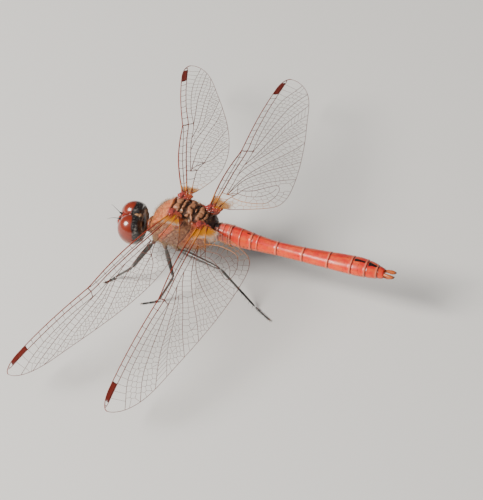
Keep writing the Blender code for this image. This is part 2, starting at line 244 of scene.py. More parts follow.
class Shape:
    """Closed solids gathered into one mesh, in the model's millimetres.

    A trait is a number, a number for each point, or a function of the points' coordinates.
    Once the traits are known, the points are moved by the function place.
    """

    def __init__(self, place=np.asarray):
        self.place = place
        self.solids = []
        self.faces = []
        self.patches = []
        self.size = 0

    def add(self, solid, patch=None, **traits):
        points, faces = solid
        traits = {name: value(*points.T) if callable(value) else value
                  for name, value in traits.items()}
        self.solids.append((self.place(points), traits))
        self.faces += [[int(corner) + self.size for corner in face] for face in faces]
        self.patches += [patch] * len(faces)
        self.size += len(points)

    def add_grid(self, grid, **traits):
        """A closed skin over a grid of points, with traits given over the grid."""
        rows, columns, _ = grid.shape
        self.add((grid.reshape(-1, 3), capped(rows, columns)),
                 **{name: np.broadcast_to(value, (rows, columns)).reshape(-1)
                    for name, value in traits.items()})

    def make(self, name, look, slot, *nodes):
        mesh = bpy.data.meshes.new(name)
        points = (np.vstack([points for points, _ in self.solids]) + SHIFT) * MM
        mesh.from_pydata(points.tolist(), [], self.faces)
        for trait in dict.fromkeys(trait for _, traits in self.solids for trait in traits):
            layer = mesh.attributes.new(trait, "FLOAT", "POINT")
            values = [np.broadcast_to(traits.get(trait, 0.0), len(points))
                      for points, traits in self.solids]
            layer.data.foreach_set("value", np.concatenate(values).astype(np.float32))
        if self.patches[0]:
            self.lay_patches(mesh)
        fixer = bmesh.new()
        fixer.from_mesh(mesh)
        bmesh.ops.recalc_face_normals(fixer, faces=fixer.faces)
        fixer.to_mesh(mesh)
        fixer.free()
        mesh.shade_smooth()
        mesh.materials.append(LOOKS[look])
        piece = put_in_scene(name, mesh)
        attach(piece, "root")
        if nodes:
            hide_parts(*nodes)

    def lay_patches(self, mesh):
        """Each tuft's faces share a small square at its root's place on the skin's unwrap."""
        size = 0.003
        corners = ((0.0, 0.0), (size, 0.0), (size, size), (0.0, size))
        spots = [(u + corners[k % 4][0], v + corners[k % 4][1])
                 for polygon, (u, v) in zip(mesh.polygons, self.patches)
                 for k in range(polygon.loop_total)]
        mesh.uv_layers.new(name="OFBake").data.foreach_set("uv", np.ravel(spots))


def tube(path, radii, sides=6, squash=1.0):
    """A closed tube along a path."""
    path = np.asarray(path, float)
    radii = np.broadcast_to(radii, len(path))
    along = unit(np.gradient(path, axis=0))
    across = np.cross(along, (0.0, 0.0, 1.0))
    upright = np.linalg.norm(across, axis=1, keepdims=True) < 0.05
    across = unit(np.where(upright, np.cross(along, (0.0, 1.0, 0.0)), unit(across)))
    over = np.cross(across, along)
    turn = (np.arange(sides) * math.tau / sides)[None, :, None]
    ring = across[:, None] * np.cos(turn) + squash * over[:, None] * np.sin(turn)
    points = (path[:, None] + ring * radii[:, None, None]).reshape(-1, 3)
    return points, capped(len(path), sides)


def swelling(path, radii, count=14, sides=12, squash=1.0):
    """A tube with rounded ends through a few stations of a path and its radii."""
    line = smooth_path(np.column_stack([np.asarray(path, float), radii]), count)
    inside, taper = 0.72, 0.28
    past = np.clip(np.abs(np.linspace(-1.0, 1.0, count)) - inside, 0, 1) / taper
    rounded = line[:, 3] * np.sqrt(np.clip(1 - past**2, 0, 1))
    return tube(line[:, :3], np.maximum(rounded, 0.004), sides, squash)


def cone(base, tip, radius, sides=3, bend=0.0):
    """A thin spine or hair from a base to a tip, bowed by bend."""
    base, tip = np.asarray(base, float), np.asarray(tip, float)
    return tube([base, (base + tip) / 2 + bend, tip], radius * np.array((1.0, 0.7, 0.12)), sides)


def lump(centre, radii, columns=24, rows=16, squareness=2.0, shape=None, turn=0.0):
    """A rounded closed knob, turned about Z, its shape bent by a function of the unit sphere."""
    p, t = np.meshgrid((np.arange(rows) + 0.5) / rows * math.pi,
                       np.arange(columns) / columns * math.tau, indexing="ij")
    ball = np.stack([np.sin(p) * np.cos(t), np.sin(p) * np.sin(t), np.cos(p)], -1).reshape(-1, 3)
    reach = (np.abs(ball) ** squareness).sum(1) ** (-1 / squareness)
    if shape is not None:
        reach = reach * shape(*ball.T)
    points = ball * reach[:, None] * np.asarray(radii, float) @ spin(turn, "Z").T
    return points + centre, capped(rows, columns)


# ---------------------------------------------------------------- materials
class Paint:
    """A Principled material, its nodes and its output sockets in the making."""

    def __init__(self, name, **plain):
        self.material = bpy.data.materials.new(name)
        self.material.use_nodes = True
        self.tree = self.material.node_tree
        self.shader = self.tree.nodes["Principled BSDF"].inputs
        for key, value in plain.items():
            self.shader[key.replace("_", " ")].default_value = value

    def put(self, socket, value):
        if isinstance(value, bpy.types.NodeSocket):
            self.tree.links.new(value, socket)
        else:
            socket.default_value = value

    def node(self, kind, inputs=(), **settings):
        made = self.tree.nodes.new("ShaderNode" + kind)
        for name, value in settings.items():
            setattr(made, name, value)
        for key, value in dict(inputs).items():
            self.put(made.inputs[key], value)
        return made

    def trait(self, name):
        return self.node("Attribute", attribute_name=name).outputs["Fac"]

    def place(self, scale, stretch=(1.0, 1.0, 1.0)):
        """Places fixed to the object, in cells of a texture, with its scale in cells per mm."""
        where = self.node("TexCoord").outputs["Object"]
        return self.node("Mapping", {"Vector": where,
                                     "Scale": [scale / MM * s for s in stretch]}).outputs[0]

    def noise(self, scale, detail=3.0, roughness=0.55, stretch=(1.0, 1.0, 1.0)):
        return self.node("TexNoise", {"Vector": self.place(scale, stretch), "Scale": 1.0,
                                      "Detail": detail, "Roughness": roughness}).outputs[0]

    def cells(self, scale):
        return self.node("TexVoronoi", {"Vector": self.place(scale), "Scale": 1.0},
                         feature="DISTANCE_TO_EDGE").outputs["Distance"]

    def ramp(self, value, *stops):
        made = self.node("ValToRGB", {"Fac": value})
        elements = made.color_ramp.elements
        while len(elements) < len(stops):
            elements.new(0.5)
        for element, (place, colour) in zip(elements, stops):
            element.position = place
            element.color = (*colour, 1.0)
        return made.outputs["Color"]

    def rise(self, value, low, high, bottom=0.0, top=1.0):
        """A grey that goes from bottom to top as the value goes from low to high."""
        return self.ramp(value, (low, (bottom,) * 3), (high, (top,) * 3))

    def mix(self, share, a, b, blend="MIX"):
        made = self.node("Mix", data_type="RGBA", blend_type=blend)
        self.put(made.inputs[0], share)
        for socket, value in ((made.inputs[6], a), (made.inputs[7], b)):
            self.put(socket, (*value, 1.0) if isinstance(value, tuple) else value)
        return made.outputs[2]

    def over(self, colour, *layers):
        """A colour with layers over it, each a trait or a share and the layer's colour."""
        for share, layer in layers:
            colour = self.mix(self.trait(share) if isinstance(share, str) else share,
                              colour, layer)
        return colour

    def times(self, value, factor, plus=None):
        kind = "MULTIPLY" if plus is None else "MULTIPLY_ADD"
        made = self.node("Math", operation=kind)
        for socket, number in zip(made.inputs, (value, factor, plus)):
            if number is not None:
                self.put(socket, number)
        return made.outputs[0]

    def finish(self, colour, height=None, strength=0.3, depth=0.02, **outputs):
        """Links the colour, the relief (its depth in mm) and other sockets to the shader."""
        self.put(self.shader["Base Color"], colour)
        if height is not None:
            relief = self.node("Bump", {"Height": height, "Strength": strength,
                                        "Distance": depth * MM})
            self.put(self.shader["Normal"], relief.outputs["Normal"])
        for key, value in outputs.items():
            self.put(self.shader[key], value)
        return self.material


def membrane_look(paint):
    """Clear with a faint cloud, and amber that fades out unevenly from the root."""
    broken = paint.times(paint.noise(1.3, 4.0, 0.6), 0.7, paint.trait("amber"))
    amber = paint.times(paint.trait("amber"), paint.rise(broken, 0.45, 1.05))
    clear = paint.mix(paint.noise(0.9, 2.0), (0.6, 0.56, 0.48), (0.8, 0.76, 0.68))
    return paint.finish(paint.mix(amber, clear, (0.46, 0.165, 0.003)),
                        paint.noise(1.6, 2.0), 0.35, 0.05, Alpha=paint.times(amber, 0.7, 0.02))


def thorax_look(paint):
    """Panels by their place across the side, dark seams, painted shade in the hollows of the back,
    brown back and fine mottling.
    """
    panels = paint.ramp(
        paint.trait("panel"), (0.025, (0.2, 0.04, 0.014)), (0.06, (0.62, 0.22, 0.07)),
        (0.19, (0.68, 0.24, 0.08)), (0.23, (0.24, 0.08, 0.025)), (0.36, (0.27, 0.09, 0.03)),
        (0.40, (0.58, 0.095, 0.012)), (0.57, (0.5, 0.08, 0.01)), (0.61, (0.23, 0.085, 0.032)),
        (0.78, (0.2, 0.07, 0.026)), (0.83, (0.42, 0.09, 0.014)), (1.0, (0.25, 0.065, 0.014)))
    mottled = paint.mix(paint.rise(paint.noise(3.2, 5.0, 0.65), 0.35, 0.7), panels,
                        (0.2, 0.09, 0.05), "OVERLAY")
    flecks = paint.times(paint.rise(paint.noise(2.6, 6.0, 0.75), 0.5, 0.62), 0.72)
    light = paint.times(paint.rise(paint.noise(2.3, 6.0, 0.7), 0.5, 0.66), 0.35)
    back = paint.mix(paint.noise(2.4, 4.0), (0.15, 0.045, 0.016), (0.56, 0.25, 0.125))
    # the dark trait also carries painted shade in the hollows of the back
    seam = paint.times(paint.trait("dark"), paint.rise(paint.noise(5.0), 0.12, 0.38))
    colour = paint.over(mottled, (flecks, (0.07, 0.022, 0.008)), (light, (0.8, 0.42, 0.2)),
                        ("belly", (0.09, 0.035, 0.018)), ("back", back),
                        ("pink", (0.42, 0.04, 0.03)), ("pale", (0.7, 0.5, 0.36)),
                        (seam, (0.02, 0.007, 0.004)))
    grain = paint.times(paint.cells(14.0), 0.6, paint.noise(9.0, 4.0))
    return paint.finish(colour, grain, 0.5, 0.03,
                        Roughness=paint.rise(paint.noise(2.0), 0.3, 0.7, 0.34, 0.55))


def abdomen_look(paint):
    """Blood red above, orange red on the sides, dark seams, black marks, fine pores and a painted
    highlight near the base.
    """
    red = paint.ramp(
        paint.trait("height"), (0.0, (0.05, 0.008, 0.005)), (0.14, (0.2, 0.016, 0.004)),
        (0.3, (0.88, 0.09, 0.004)), (0.6, (0.86, 0.034, 0.005)), (0.9, (0.72, 0.02, 0.009)),
        (1.0, (0.6, 0.012, 0.008)))
    cloud = paint.rise(paint.noise(1.5, 5.0, 0.65, (1.0, 0.6, 1.0)), 0.42, 0.68)
    blots = paint.rise(paint.noise(2.6, 5.0, 0.7), 0.56, 0.7)
    mark = paint.rise(paint.times(paint.noise(3.2, 5.0, 0.75), 0.9, paint.trait("dark")),
                      0.72, 1.0)
    colour = paint.over(red, (paint.times(cloud, 0.65), (0.85, 0.14, 0.02)),
                        (paint.times(blots, 0.75), (0.25, 0.008, 0.003)),
                        ("bloom", (0.34, 0.13, 0.1)), ("rim", (0.88, 0.3, 0.17)),
                        ("seam", (0.07, 0.002, 0.002)), (mark, (0.008, 0.005, 0.005)))
    streaks = paint.noise(5.0, 3.0, 0.6, (1.0, 0.25, 1.0))
    return paint.finish(colour, paint.times(paint.cells(9.0), 0.5, streaks), 0.4, 0.035,
                        Roughness=paint.rise(streaks, 0.3, 0.75, 0.3, 0.5))


def eye_look(paint):
    """Red brown in front, black over the back, tan grey beneath, with a grain of facets and
    painted grey sheen on the black.
    """
    red = paint.mix(paint.noise(0.9, 4.0, 0.6), (0.12, 0.008, 0.003), (0.26, 0.026, 0.005))
    lower = paint.mix(paint.noise(1.4, 3.0), (0.36, 0.08, 0.012), (0.24, 0.085, 0.03))
    # painted sheen: grey streaks through the black of the cap
    streaks = paint.rise(paint.noise(0.8, 5.0, 0.65, (1.0, 2.6, 1.0)), 0.5, 0.72)
    black = paint.mix(streaks, (0.005, 0.003, 0.003), (0.03, 0.024, 0.022))
    # painted sheen: grey flecks in a band over the black cap
    painted_sheen = paint.times(paint.trait("sheen"), paint.rise(paint.noise(3.2, 5.0, 0.7), 0.5, 0.64))
    colour = paint.over(red, ("low", lower),
                        ("cap", paint.over(black, ("low", (0.1, 0.094, 0.09)))),
                        (paint.times(paint.trait("spot"), 0.7), (0.03, 0.004, 0.003)),
                        (painted_sheen, (0.19, 0.17, 0.15)))
    return paint.finish(colour, paint.cells(30.0), 0.12, 0.008)


def plain_look(low, high, cloud, layers=(), relief=None):
    """Two colours mixed by a noise, layers by trait over them, and a noise for the relief."""
    def look(paint):
        share = paint.noise(*cloud[:2])
        if len(cloud) > 2:
            share = paint.rise(share, *cloud[2:])
        colour = paint.over(paint.mix(share, low, high), *layers)
        if relief is None:
            return paint.finish(colour)
        scale, detail, strength, depth = relief
        return paint.finish(colour, paint.noise(scale, detail), strength, depth)
    return look


LOOKS = {name: look(Paint(name, **plain)) for name, look, plain in (
    ("wing membrane", membrane_look, {"Roughness": 0.16, "IOR": 1.5}),
    ("wing vein",
     plain_look((0.05, 0.012, 0.008), (0.12, 0.026, 0.012), (2.0, 3.0),
                (("redness", (0.26, 0.028, 0.01)), ("golden", (0.6, 0.2, 0.015)))),
     {"Roughness": 0.35}),
    ("wing spot",
     plain_look((0.085, 0.007, 0.004), (0.15, 0.015, 0.007), (3.0, 3.0),
                (("edge", (0.03, 0.008, 0.008)),), (7.0, 3.0, 0.3, 0.03)), {"Roughness": 0.3}),
    ("thorax cuticle", thorax_look, {}),
    ("wing joint plates",
     plain_look((0.15, 0.008, 0.007), (0.52, 0.075, 0.06), (3.0, 4.0),
                (("dark", (0.03, 0.012, 0.01)), ("golden", (0.32, 0.06, 0.008))),
                (8.0, 3.0, 0.3, 0.03)),
     {"Roughness": 0.35, "Coat_Weight": 0.8, "Coat_Roughness": 0.1}),
    ("abdomen cuticle", abdomen_look,
     {"Coat_Weight": 0.45, "Coat_Roughness": 0.2, "Specular_IOR_Level": 0.3}),
    ("compound eye", eye_look,
     {"Roughness": 0.32, "Coat_Weight": 1.0, "Coat_Roughness": 0.04, "Specular_IOR_Level": 0.3}),
    ("face cuticle",
     plain_look((0.2, 0.01, 0.004), (0.34, 0.028, 0.009), (2.0, 4.0),
                (("pale", (0.36, 0.15, 0.05)), ("dark", (0.02, 0.012, 0.01))),
                (9.0, 3.0, 0.25, 0.02)),
     {"Roughness": 0.4, "Coat_Weight": 0.25, "Coat_Roughness": 0.15}),
    ("back of the head",
     plain_look((0.13, 0.045, 0.015), (0.3, 0.14, 0.06), (2.2, 4.0),
                (("dark", (0.02, 0.013, 0.01)), ("pale", (0.55, 0.33, 0.17))),
                (8.0, 4.0, 0.4, 0.03)), {"Roughness": 0.45}),
    # leg horn: black with grey patches mixed in by noise, which are painted sheen
    ("leg horn",
     plain_look((0.006, 0.005, 0.005), (0.06, 0.056, 0.053), (1.3, 4.0, 0.3, 0.75),
                (("brown", (0.22, 0.1, 0.045)),), (9.0, 3.0, 0.4, 0.02)),
     {"Roughness": 0.3, "Coat_Weight": 0.3, "Coat_Roughness": 0.25}),
    ("tail horn",
     plain_look((0.42, 0.07, 0.012), (0.55, 0.15, 0.03), (3.0, 4.0),
                (("dark", (0.06, 0.02, 0.012)),), (8.0, 3.0, 0.3, 0.02)), {"Roughness": 0.35}),
    ("pale hair", plain_look((0.26, 0.12, 0.04), (0.52, 0.32, 0.14), (1.5, 3.0)),
     {"Roughness": 0.45}),
    ("dark hair", plain_look((0.02, 0.014, 0.012), (0.07, 0.045, 0.03), (1.5, 3.0)),
     {"Roughness": 0.4}),
)}


# ---------------------------------------------------------------- wings
def front_edge(kind, out):
    """How far the front edge stands back from the wing's axis at a distance out."""
    wing = WINGS[kind]
    bow = -wing["bow"] * np.sin(math.pi * np.clip(out / wing["nodus"], 0.0, 1.0))
    outer = np.clip((out - wing["nodus"]) / (wing["length"] - wing["nodus"]), 0.0, 1.0)
    return bow - 0.3 * np.sin(math.pi * outer) + 0.15 * out / wing["length"]


def wing_edges(kind, out):
    """Front and back edge of a wing at distances out, closing on an elliptical tip."""
    out = np.atleast_1d(np.asarray(out, float))
    (turn_before, wide_before), (turn, wide) = TRAILING[kind][-2:]
    past = np.clip((out - turn) / (WINGS[kind]["length"] - turn), 0.0, 1.0)
    wide = wide + (wide - wide_before) / (turn - turn_before) * (out - turn)
    tip = TIP_BACK + (wide - TIP_BACK) * np.maximum(1 - past**4, 0.0) ** 0.55
    back = np.where(out <= turn, through(TRAILING[kind], out)[:, 0], tip)
    closing = np.clip(past - 0.62, 0.0, 1.0) / 0.38
    front = front_edge(kind, out)
    return front + (TIP_BACK - front) * (1 - np.sqrt(np.maximum(1 - closing**2, 0.0))), back


# Each vein: its radius at both ends; how far the membrane rises (or falls) along it; and its
# places as distance out and distance behind the front edge, where None is the margin
VEINS = {
    "fore": {
        "subcosta": ((0.062, 0.04), -0.1, (0, 0.3), (3, 0.45), (7, 0.5), (11, 0.4), (13.4, 0.2),
            (14.2, 0.02)),
        "radius": ((0.098, 0.045), 0.12, (0, 0.55), (3, 0.85), (7, 0.98), (11, 0.88), (14.2, 0.74),
            (18, 0.68), (22, 0.7), (24.7, 0.7), (27.3, 0.68), (28.1, 0.55)),
        "sector": ((0.05, 0.032), -0.08, (4.4, 1.45), (6, 1.5), (9, 1.5), (11.5, 1.45),
            (14.2, 1.4), (18, 1.3), (22, 1.45), (25, 1.8), (27.7, None)),
        "second": ((0.05, 0.035), 0.06, (14.2, 1.4), (17, 1.85), (20, 2.25), (23, 2.75),
            (26.4, None)),
        "between": ((0.05, 0.03), -0.06, (11.5, 1.45), (14, 2), (17, 2.65), (20, 3.2), (23, 3.85),
            (25, None)),
        "extra": ((0.035, 0.025), 0.03, (12.4, 2.15), (14, 2.62), (17, 3.25), (19.5, 3.75),
            (22.3, None)),
        "third": ((0.05, 0.032), 0.06, (8.8, 1.5), (11, 2.1), (14, 3.2), (17, 4.3), (19.6, None)),
        "media": ((0.055, 0.032), -0.06, (4.4, 1.5), (6.5, 1.95), (9, 2.5), (12, 3.4), (15, 4.5),
            (17.7, None)),
        "rear media": ((0.05, 0.03), 0.05, (5.9, 3.25), (8, 4.1), (10.5, 5), (12.9, None)),
        "cubitus": ((0.045, 0.03), -0.04, (5.9, 3.25), (6.6, 4.3), (7.9, 5.3), (9.3, None)),
        "anal": ((0.062, 0.04), 0.06, (0, 1.1), (2.5, 1.75), (4.4, 2.3), (5.9, 3.25)),
    },
    "hind": {
        "subcosta": ((0.062, 0.04), -0.1, (0, 0.3), (3, 0.45), (6, 0.48), (9, 0.36), (10.8, 0.14),
            (11.4, 0.02)),
        "radius": ((0.098, 0.045), 0.12, (0, 0.55), (3, 0.85), (7, 0.92), (11.4, 0.74), (15, 0.68),
            (20, 0.7), (24.07, 0.7), (26.7, 0.68), (27.5, 0.55)),
        "sector": ((0.05, 0.032), -0.08, (2.7, 1.4), (5, 1.55), (8, 1.5), (11.4, 1.4), (15, 1.3),
            (19, 1.35), (23, 1.6), (27, None)),
        "second": ((0.05, 0.035), 0.06, (11.4, 1.4), (14, 1.9), (18, 2.5), (22, 3.15),
            (25.4, None)),
        "between": ((0.05, 0.03), -0.06, (9, 1.5), (11.4, 2.05), (15, 2.95), (19, 3.9),
            (23.2, None)),
        "extra": ((0.035, 0.025), 0.03, (10.2, 2.2), (12, 2.75), (15, 3.6), (18, 4.5),
            (21.2, None)),
        "third": ((0.05, 0.032), 0.06, (6.8, 1.52), (9, 2.2), (12, 3.5), (15, 5), (18, None)),
        "media": ((0.055, 0.032), -0.06, (2.7, 1.5), (5, 2), (7.5, 2.8), (10, 4), (13, 5.9),
            (15.4, None)),
        "rear media": ((0.05, 0.03), 0.05, (4.9, 2.25), (6.5, 3.1), (8.5, 4.75), (10.4, 6.8),
            (11.6, None)),
        "cubitus": ((0.045, 0.03), -0.04, (3.2, 2.7), (4.5, 3.4), (6.1, 5.1), (7.3, 7),
            (8.1, None)),
        "anal": ((0.062, 0.045), 0.06, (0, 1.2), (1.5, 1.75), (3.2, 2.7)),
        "loop inner": ((0.045, 0.035), 0, (2.3, 2.2), (1.95, 3.6), (2.05, 5.2), (2.6, 6.7),
            (4.2, 7.5)),
        "loop rib": ((0.035, 0.03), 0, (3.2, 2.7), (3.1, 4.2), (3.6, 5.7), (4.7, 6.75),
            (5.6, 7.1)),
        "loop outer": ((0.045, 0.035), 0, (3.9, 3), (4.3, 4.4), (5.4, 5.8), (6.2, 6.9), (5.6, 7.5),
            (4.2, 7.5)),
    },
}
ARCULUS = {"fore": 4.4, "hind": 2.7}
TRIANGLE = {"fore": ((5, 1.6), (6.35, 1.9), (5.9, 3.25)),
            "hind": ((2.85, 1.55), (4.9, 2.25), (3.2, 2.7))}
STIGMA = {"fore": (24.7, 27.38), "hind": (24.07, 26.75)}
# Cross veins before and beyond the node
CROSS_VEINS = {"fore": (8, 7), "hind": (6, 8)}
CELL_RADIUS, CROSS_RADIUS, TRIANGLE_RADIUS, MARGIN_RADIUS = 0.021, 0.032, 0.045, 0.036
VEIN_POINTS = 90
MEMBRANE_HALF = 0.011
PLEAT_WIDTH = 0.26
# How far out and back the amber reaches, and where the membrane starts in the joint
AMBER = {"fore": (1.5, 2.0), "hind": (2.2, 2.5)}
ROOT_EDGE = {"fore": (0.22, 1.3), "hind": (0.26, 0.9)}


def behind_front(kind, out, behind):
    return np.array((out, float(front_edge(kind, out)) + behind))


def vein_paths(kind):
    """Every long vein as a path over the wing, as distance out and back from the wing's axis."""
    paths = {}
    for name, (radii, lift, *places) in VEINS[kind].items():
        points = [(out, wing_edges(kind, out)[1][0]) if behind is None
                  else behind_front(kind, out, behind) for out, behind in places]
        paths[name] = (smooth_path(points, VEIN_POINTS), radii, lift)
    out = WINGS[kind]["length"] * np.sin(np.linspace(0, math.pi / 2, 160))
    front, back = wing_edges(kind, out)
    paths["costa"] = (np.column_stack([out, front]), (0.105, 0.055), 0.06)
    paths["margin"] = (np.column_stack([out, back]), (0.035, 0.035), 0.0)
    return paths


PATHS = {kind: vein_paths(kind) for kind in WINGS}


def relief(kind, out, back):
    """Height of the pleated membrane over its middle surface."""
    height = np.zeros(len(out))
    for path, _, lift in PATHS[kind].values():
        start, end = path[0, 0], path[-1, 0]
        lift = lift * fade(end - 1.2, end, out)
        if start >= 0.1:
            lift *= smoothstep(start - 0.4, start + 0.5, out)
        height += lift * hill(back - np.interp(out, *path.T), PLEAT_WIDTH)
    return height


def on_wing(kind, side, places):
    """Points of the wing at (distance out, distance back) places, in the model's axes."""
    out, back = np.asarray(places, float).T
    wing = WINGS[kind]
    droop = math.radians(wing["droop"] + (LEFT_EXTRA_DROOP if side > 0 else 0.0))
    bend = math.radians(wing["sag"]) / wing["length"]
    reach = (np.sin(droop + bend * out) - math.sin(droop)) / bend
    fall = (math.cos(droop) - np.cos(droop + bend * out)) / bend
    sweep = math.radians(wing["sweep"])
    x, y, z = wing["root"]
    return np.column_stack([side * (x + reach * math.cos(sweep) + back * math.sin(sweep)),
                            y - reach * math.sin(sweep) + back * math.cos(sweep),
                            z - fall + relief(kind, out, back)])


def mirror_over(point, a, b, fallback):
    """A point's mirror image in the line from a to b, or in the line across a short one."""
    way = b - a
    if np.linalg.norm(way) < 0.25:
        way = np.array((-fallback[1], fallback[0]))
    way = unit(way)
    middle = (a + b) / 2
    offset = point - middle
    return middle + 2 * way * (offset @ way) - offset


def circle_centre(a, b, c):
    """The centre of the circle through three points, or None if they stand in line."""
    b, c = b - a, c - a
    double = 2 * (b[0] * c[1] - b[1] * c[0])
    if abs(double) < 1e-9:
        return None
    bb, cc = b @ b, c @ c
    return a + np.array((c[1] * bb - b[1] * cc, b[0] * cc - c[0] * bb)) / double


def cell_seeds(upper, lower, pitch, spot, columns):
    """Middles of the cells in a field, and their mirror images over its four edges."""
    seeds = []
    for here, rows in columns:
        for k in range(rows):
            shift = pitch * (0.25 if k % 2 else -0.25) if rows > 1 else 0.0
            shift += pitch * 0.12 * (DRAWS.random() - 0.5)
            share = (k + 0.5 + 0.1 * (DRAWS.random() - 0.5)) / rows
            seeds.append((spot(here + shift, share), "in"))
            if k == 0:
                seeds.append((spot(here + shift, -share), "upper"))
            if k == rows - 1:
                seeds.append((spot(here + shift, 2 - share), "lower"))
    middle = (upper + lower) / 2
    for point in [seed for seed, home in seeds if home == "in"]:
        for end, home, heading in ((-1, "end", middle[-1] - middle[-4]),
                                   (0, "start", middle[3] - middle[0])):
            near = 1.6 * pitch + np.linalg.norm(upper[end] - lower[end]) / 2
            if np.linalg.norm(point - middle[end]) < near:
                seeds.append((mirror_over(point, upper[end], lower[end], heading), home))
    return seeds


def cell_walls(upper, lower, pitch, row, end_path=None):
    """Small veins that divide the field between two long veins into cells.

    Cells stand in rows about row deep, pitch apart. Their walls are the borders between the
    middles of neighbouring cells, where middles mirrored over the long veins close the field.
    """
    upper, lower = resample(upper, 60), resample(lower, 60)
    middle = (upper + lower) / 2
    steps = steps_along(middle)
    overrun = (middle[-1] - middle[-2]) / steps[-1]

    def spot(where, share):
        """A place some way along the field and a share of the way across it."""
        top = at(where, steps, upper) + (overrun if where > steps[-1] else 0.0)
        return top + (at(where, steps, lower) - top) * share

    columns = []
    where = pitch * 0.55
    while where < steps[-1] - 0.25 * pitch:
        width = np.linalg.norm(spot(where, 0.0) - spot(where, 1.0))
        columns.append((where, max(1, int(round(width / row)))))
        where += pitch * (0.9 + 0.2 * DRAWS.random()) * (1.0 if width > 0.35 else 1.3)
    walls = []
    if max((rows for _, rows in columns), default=1) == 1:
        for (here, _), (following, _) in zip(columns, columns[1:]):
            cut = (here + following) / 2
            lean = pitch * 0.16 * (DRAWS.random() - 0.5)
            walls.append((spot(cut + lean, 0.0), spot(cut - lean, 1.0)))
        return walls
    seeds = cell_seeds(upper, lower, pitch, spot, columns)
    points, _, triangles, origins, _, _ = delaunay_2d_cdt(
        [Vector(seed) for seed, _ in seeds], [], [], 0, 1e-7)
    kinds = [seeds[origin[0]][1] if origin else "out" for origin in origins]
    spots = np.array([tuple(point) for point in points])
    edges = {"upper": upper, "lower": lower, "start": np.array([upper[0], lower[0]]),
             "end": np.array([upper[-1], lower[-1]]) if end_path is None else end_path}
    corners = []
    owners = {}
    for index, triangle in enumerate(triangles):
        found = circle_centre(*spots[list(triangle)])
        outside = [kinds[k] for k in triangle if kinds[k] in edges]
        if found is not None and outside:
            (led,), (gap,) = nearest_on(edges[outside[0]], found)
            found = led if gap < 0.8 * pitch else None
        corners.append(found)
        a, b, c = triangle
        for edge in ((a, b), (b, c), (c, a)):
            owners.setdefault(tuple(sorted(edge)), []).append(index)
    for (a, b), sharing in owners.items():
        if kinds[a] == kinds[b] == "in" and len(sharing) == 2:
            first, second = (corners[index] for index in sharing)
            if first is not None and second is not None:
                if np.linalg.norm(first - second) < 2.2 * max(pitch, row):
                    walls.append((first, second))
    return walls


def piece_of(path, start, end=math.inf):
    """The part of a path between two distances out."""
    return path[(path[:, 0] >= start - 1e-6) & (path[:, 0] <= end + 1e-6)]


def wing_fields(kind):
    """The fields between the long veins, each with its cell pitch and row depth."""
    line = {name: path for name, (path, _, _) in PATHS[kind].items()}
    nodus, arculus = WINGS[kind]["nodus"], ARCULUS[kind]
    sector, between, extra, third, media, margin = (
        line[name] for name in ("sector", "between", "extra", "third", "media", "margin"))
    split, fork, branch = third[0, 0], between[0, 0], extra[0, 0]
    fields = []

    def field(upper, lower, pitch, row):
        upper, lower = (np.vstack(part) if isinstance(part, tuple) else part
                        for part in (upper, lower))
        ends = sorted((upper[-1, 0], lower[-1, 0]))
        near = piece_of(margin, ends[0] - 0.5, ends[1] + 0.5)
        closed = nearest_on(margin, upper[-1])[1][0] < 0.15 and len(near) > 2
        fields.append((upper, lower, pitch, row, near if closed else None))

    field(piece_of(line["radius"], arculus, nodus), piece_of(sector, arculus, nodus), 0.95, 2.0)
    field(piece_of(line["radius"], nodus + 0.5, 28.0), piece_of(sector, nodus + 0.5, 28.0),
          1.0, 2.0)
    field(piece_of(sector, nodus), line["second"], 0.8, 0.72)
    field((piece_of(sector, fork, nodus), line["second"]), between, 0.78, 0.8)
    field(between, (piece_of(between, fork, branch), extra), 0.7, 1.4)
    field((piece_of(sector, split, fork), piece_of(between, fork, branch), extra), third,
          0.68, 0.62)
    field((piece_of(sector, arculus + 1.0, split), third), piece_of(media, arculus + 1.0),
          0.8, 0.95)
    field(piece_of(media, TRIANGLE[kind][1][0]), line["rear media"], 0.68, 0.62)
    field(line["rear media"], line["cubitus"], 0.68, 0.62)
    if kind == "fore":
        field((line["anal"], line["cubitus"]), piece_of(margin, 0.0, line["cubitus"][-1, 0]),
              0.72, 0.68)
    else:
        # the loop of the hind wing, whose heel takes the last third of its veins
        inner, rib, outer = line["loop inner"], line["loop rib"], line["loop outer"]
        heel = VEIN_POINTS * 2 // 3
        field(inner, rib, 0.75, 0.9)
        field(rib, outer[:heel], 0.75, 0.9)
        field(line["cubitus"], (outer[:heel + 2], piece_of(margin, 6.3, 7.6)), 0.72, 0.7)
        field((inner[heel + 2:], outer[:heel - 1:-1]), piece_of(margin, 2.6, 6.6), 0.72, 0.7)
        side = piece_of(margin, 0.0, 2.6)
        root = behind_front(kind, 0.0, 1.3) + (0.02, 0.0)
        field(inner[:heel + 4], (root, side[0], side), 0.72, 0.72)
    return fields


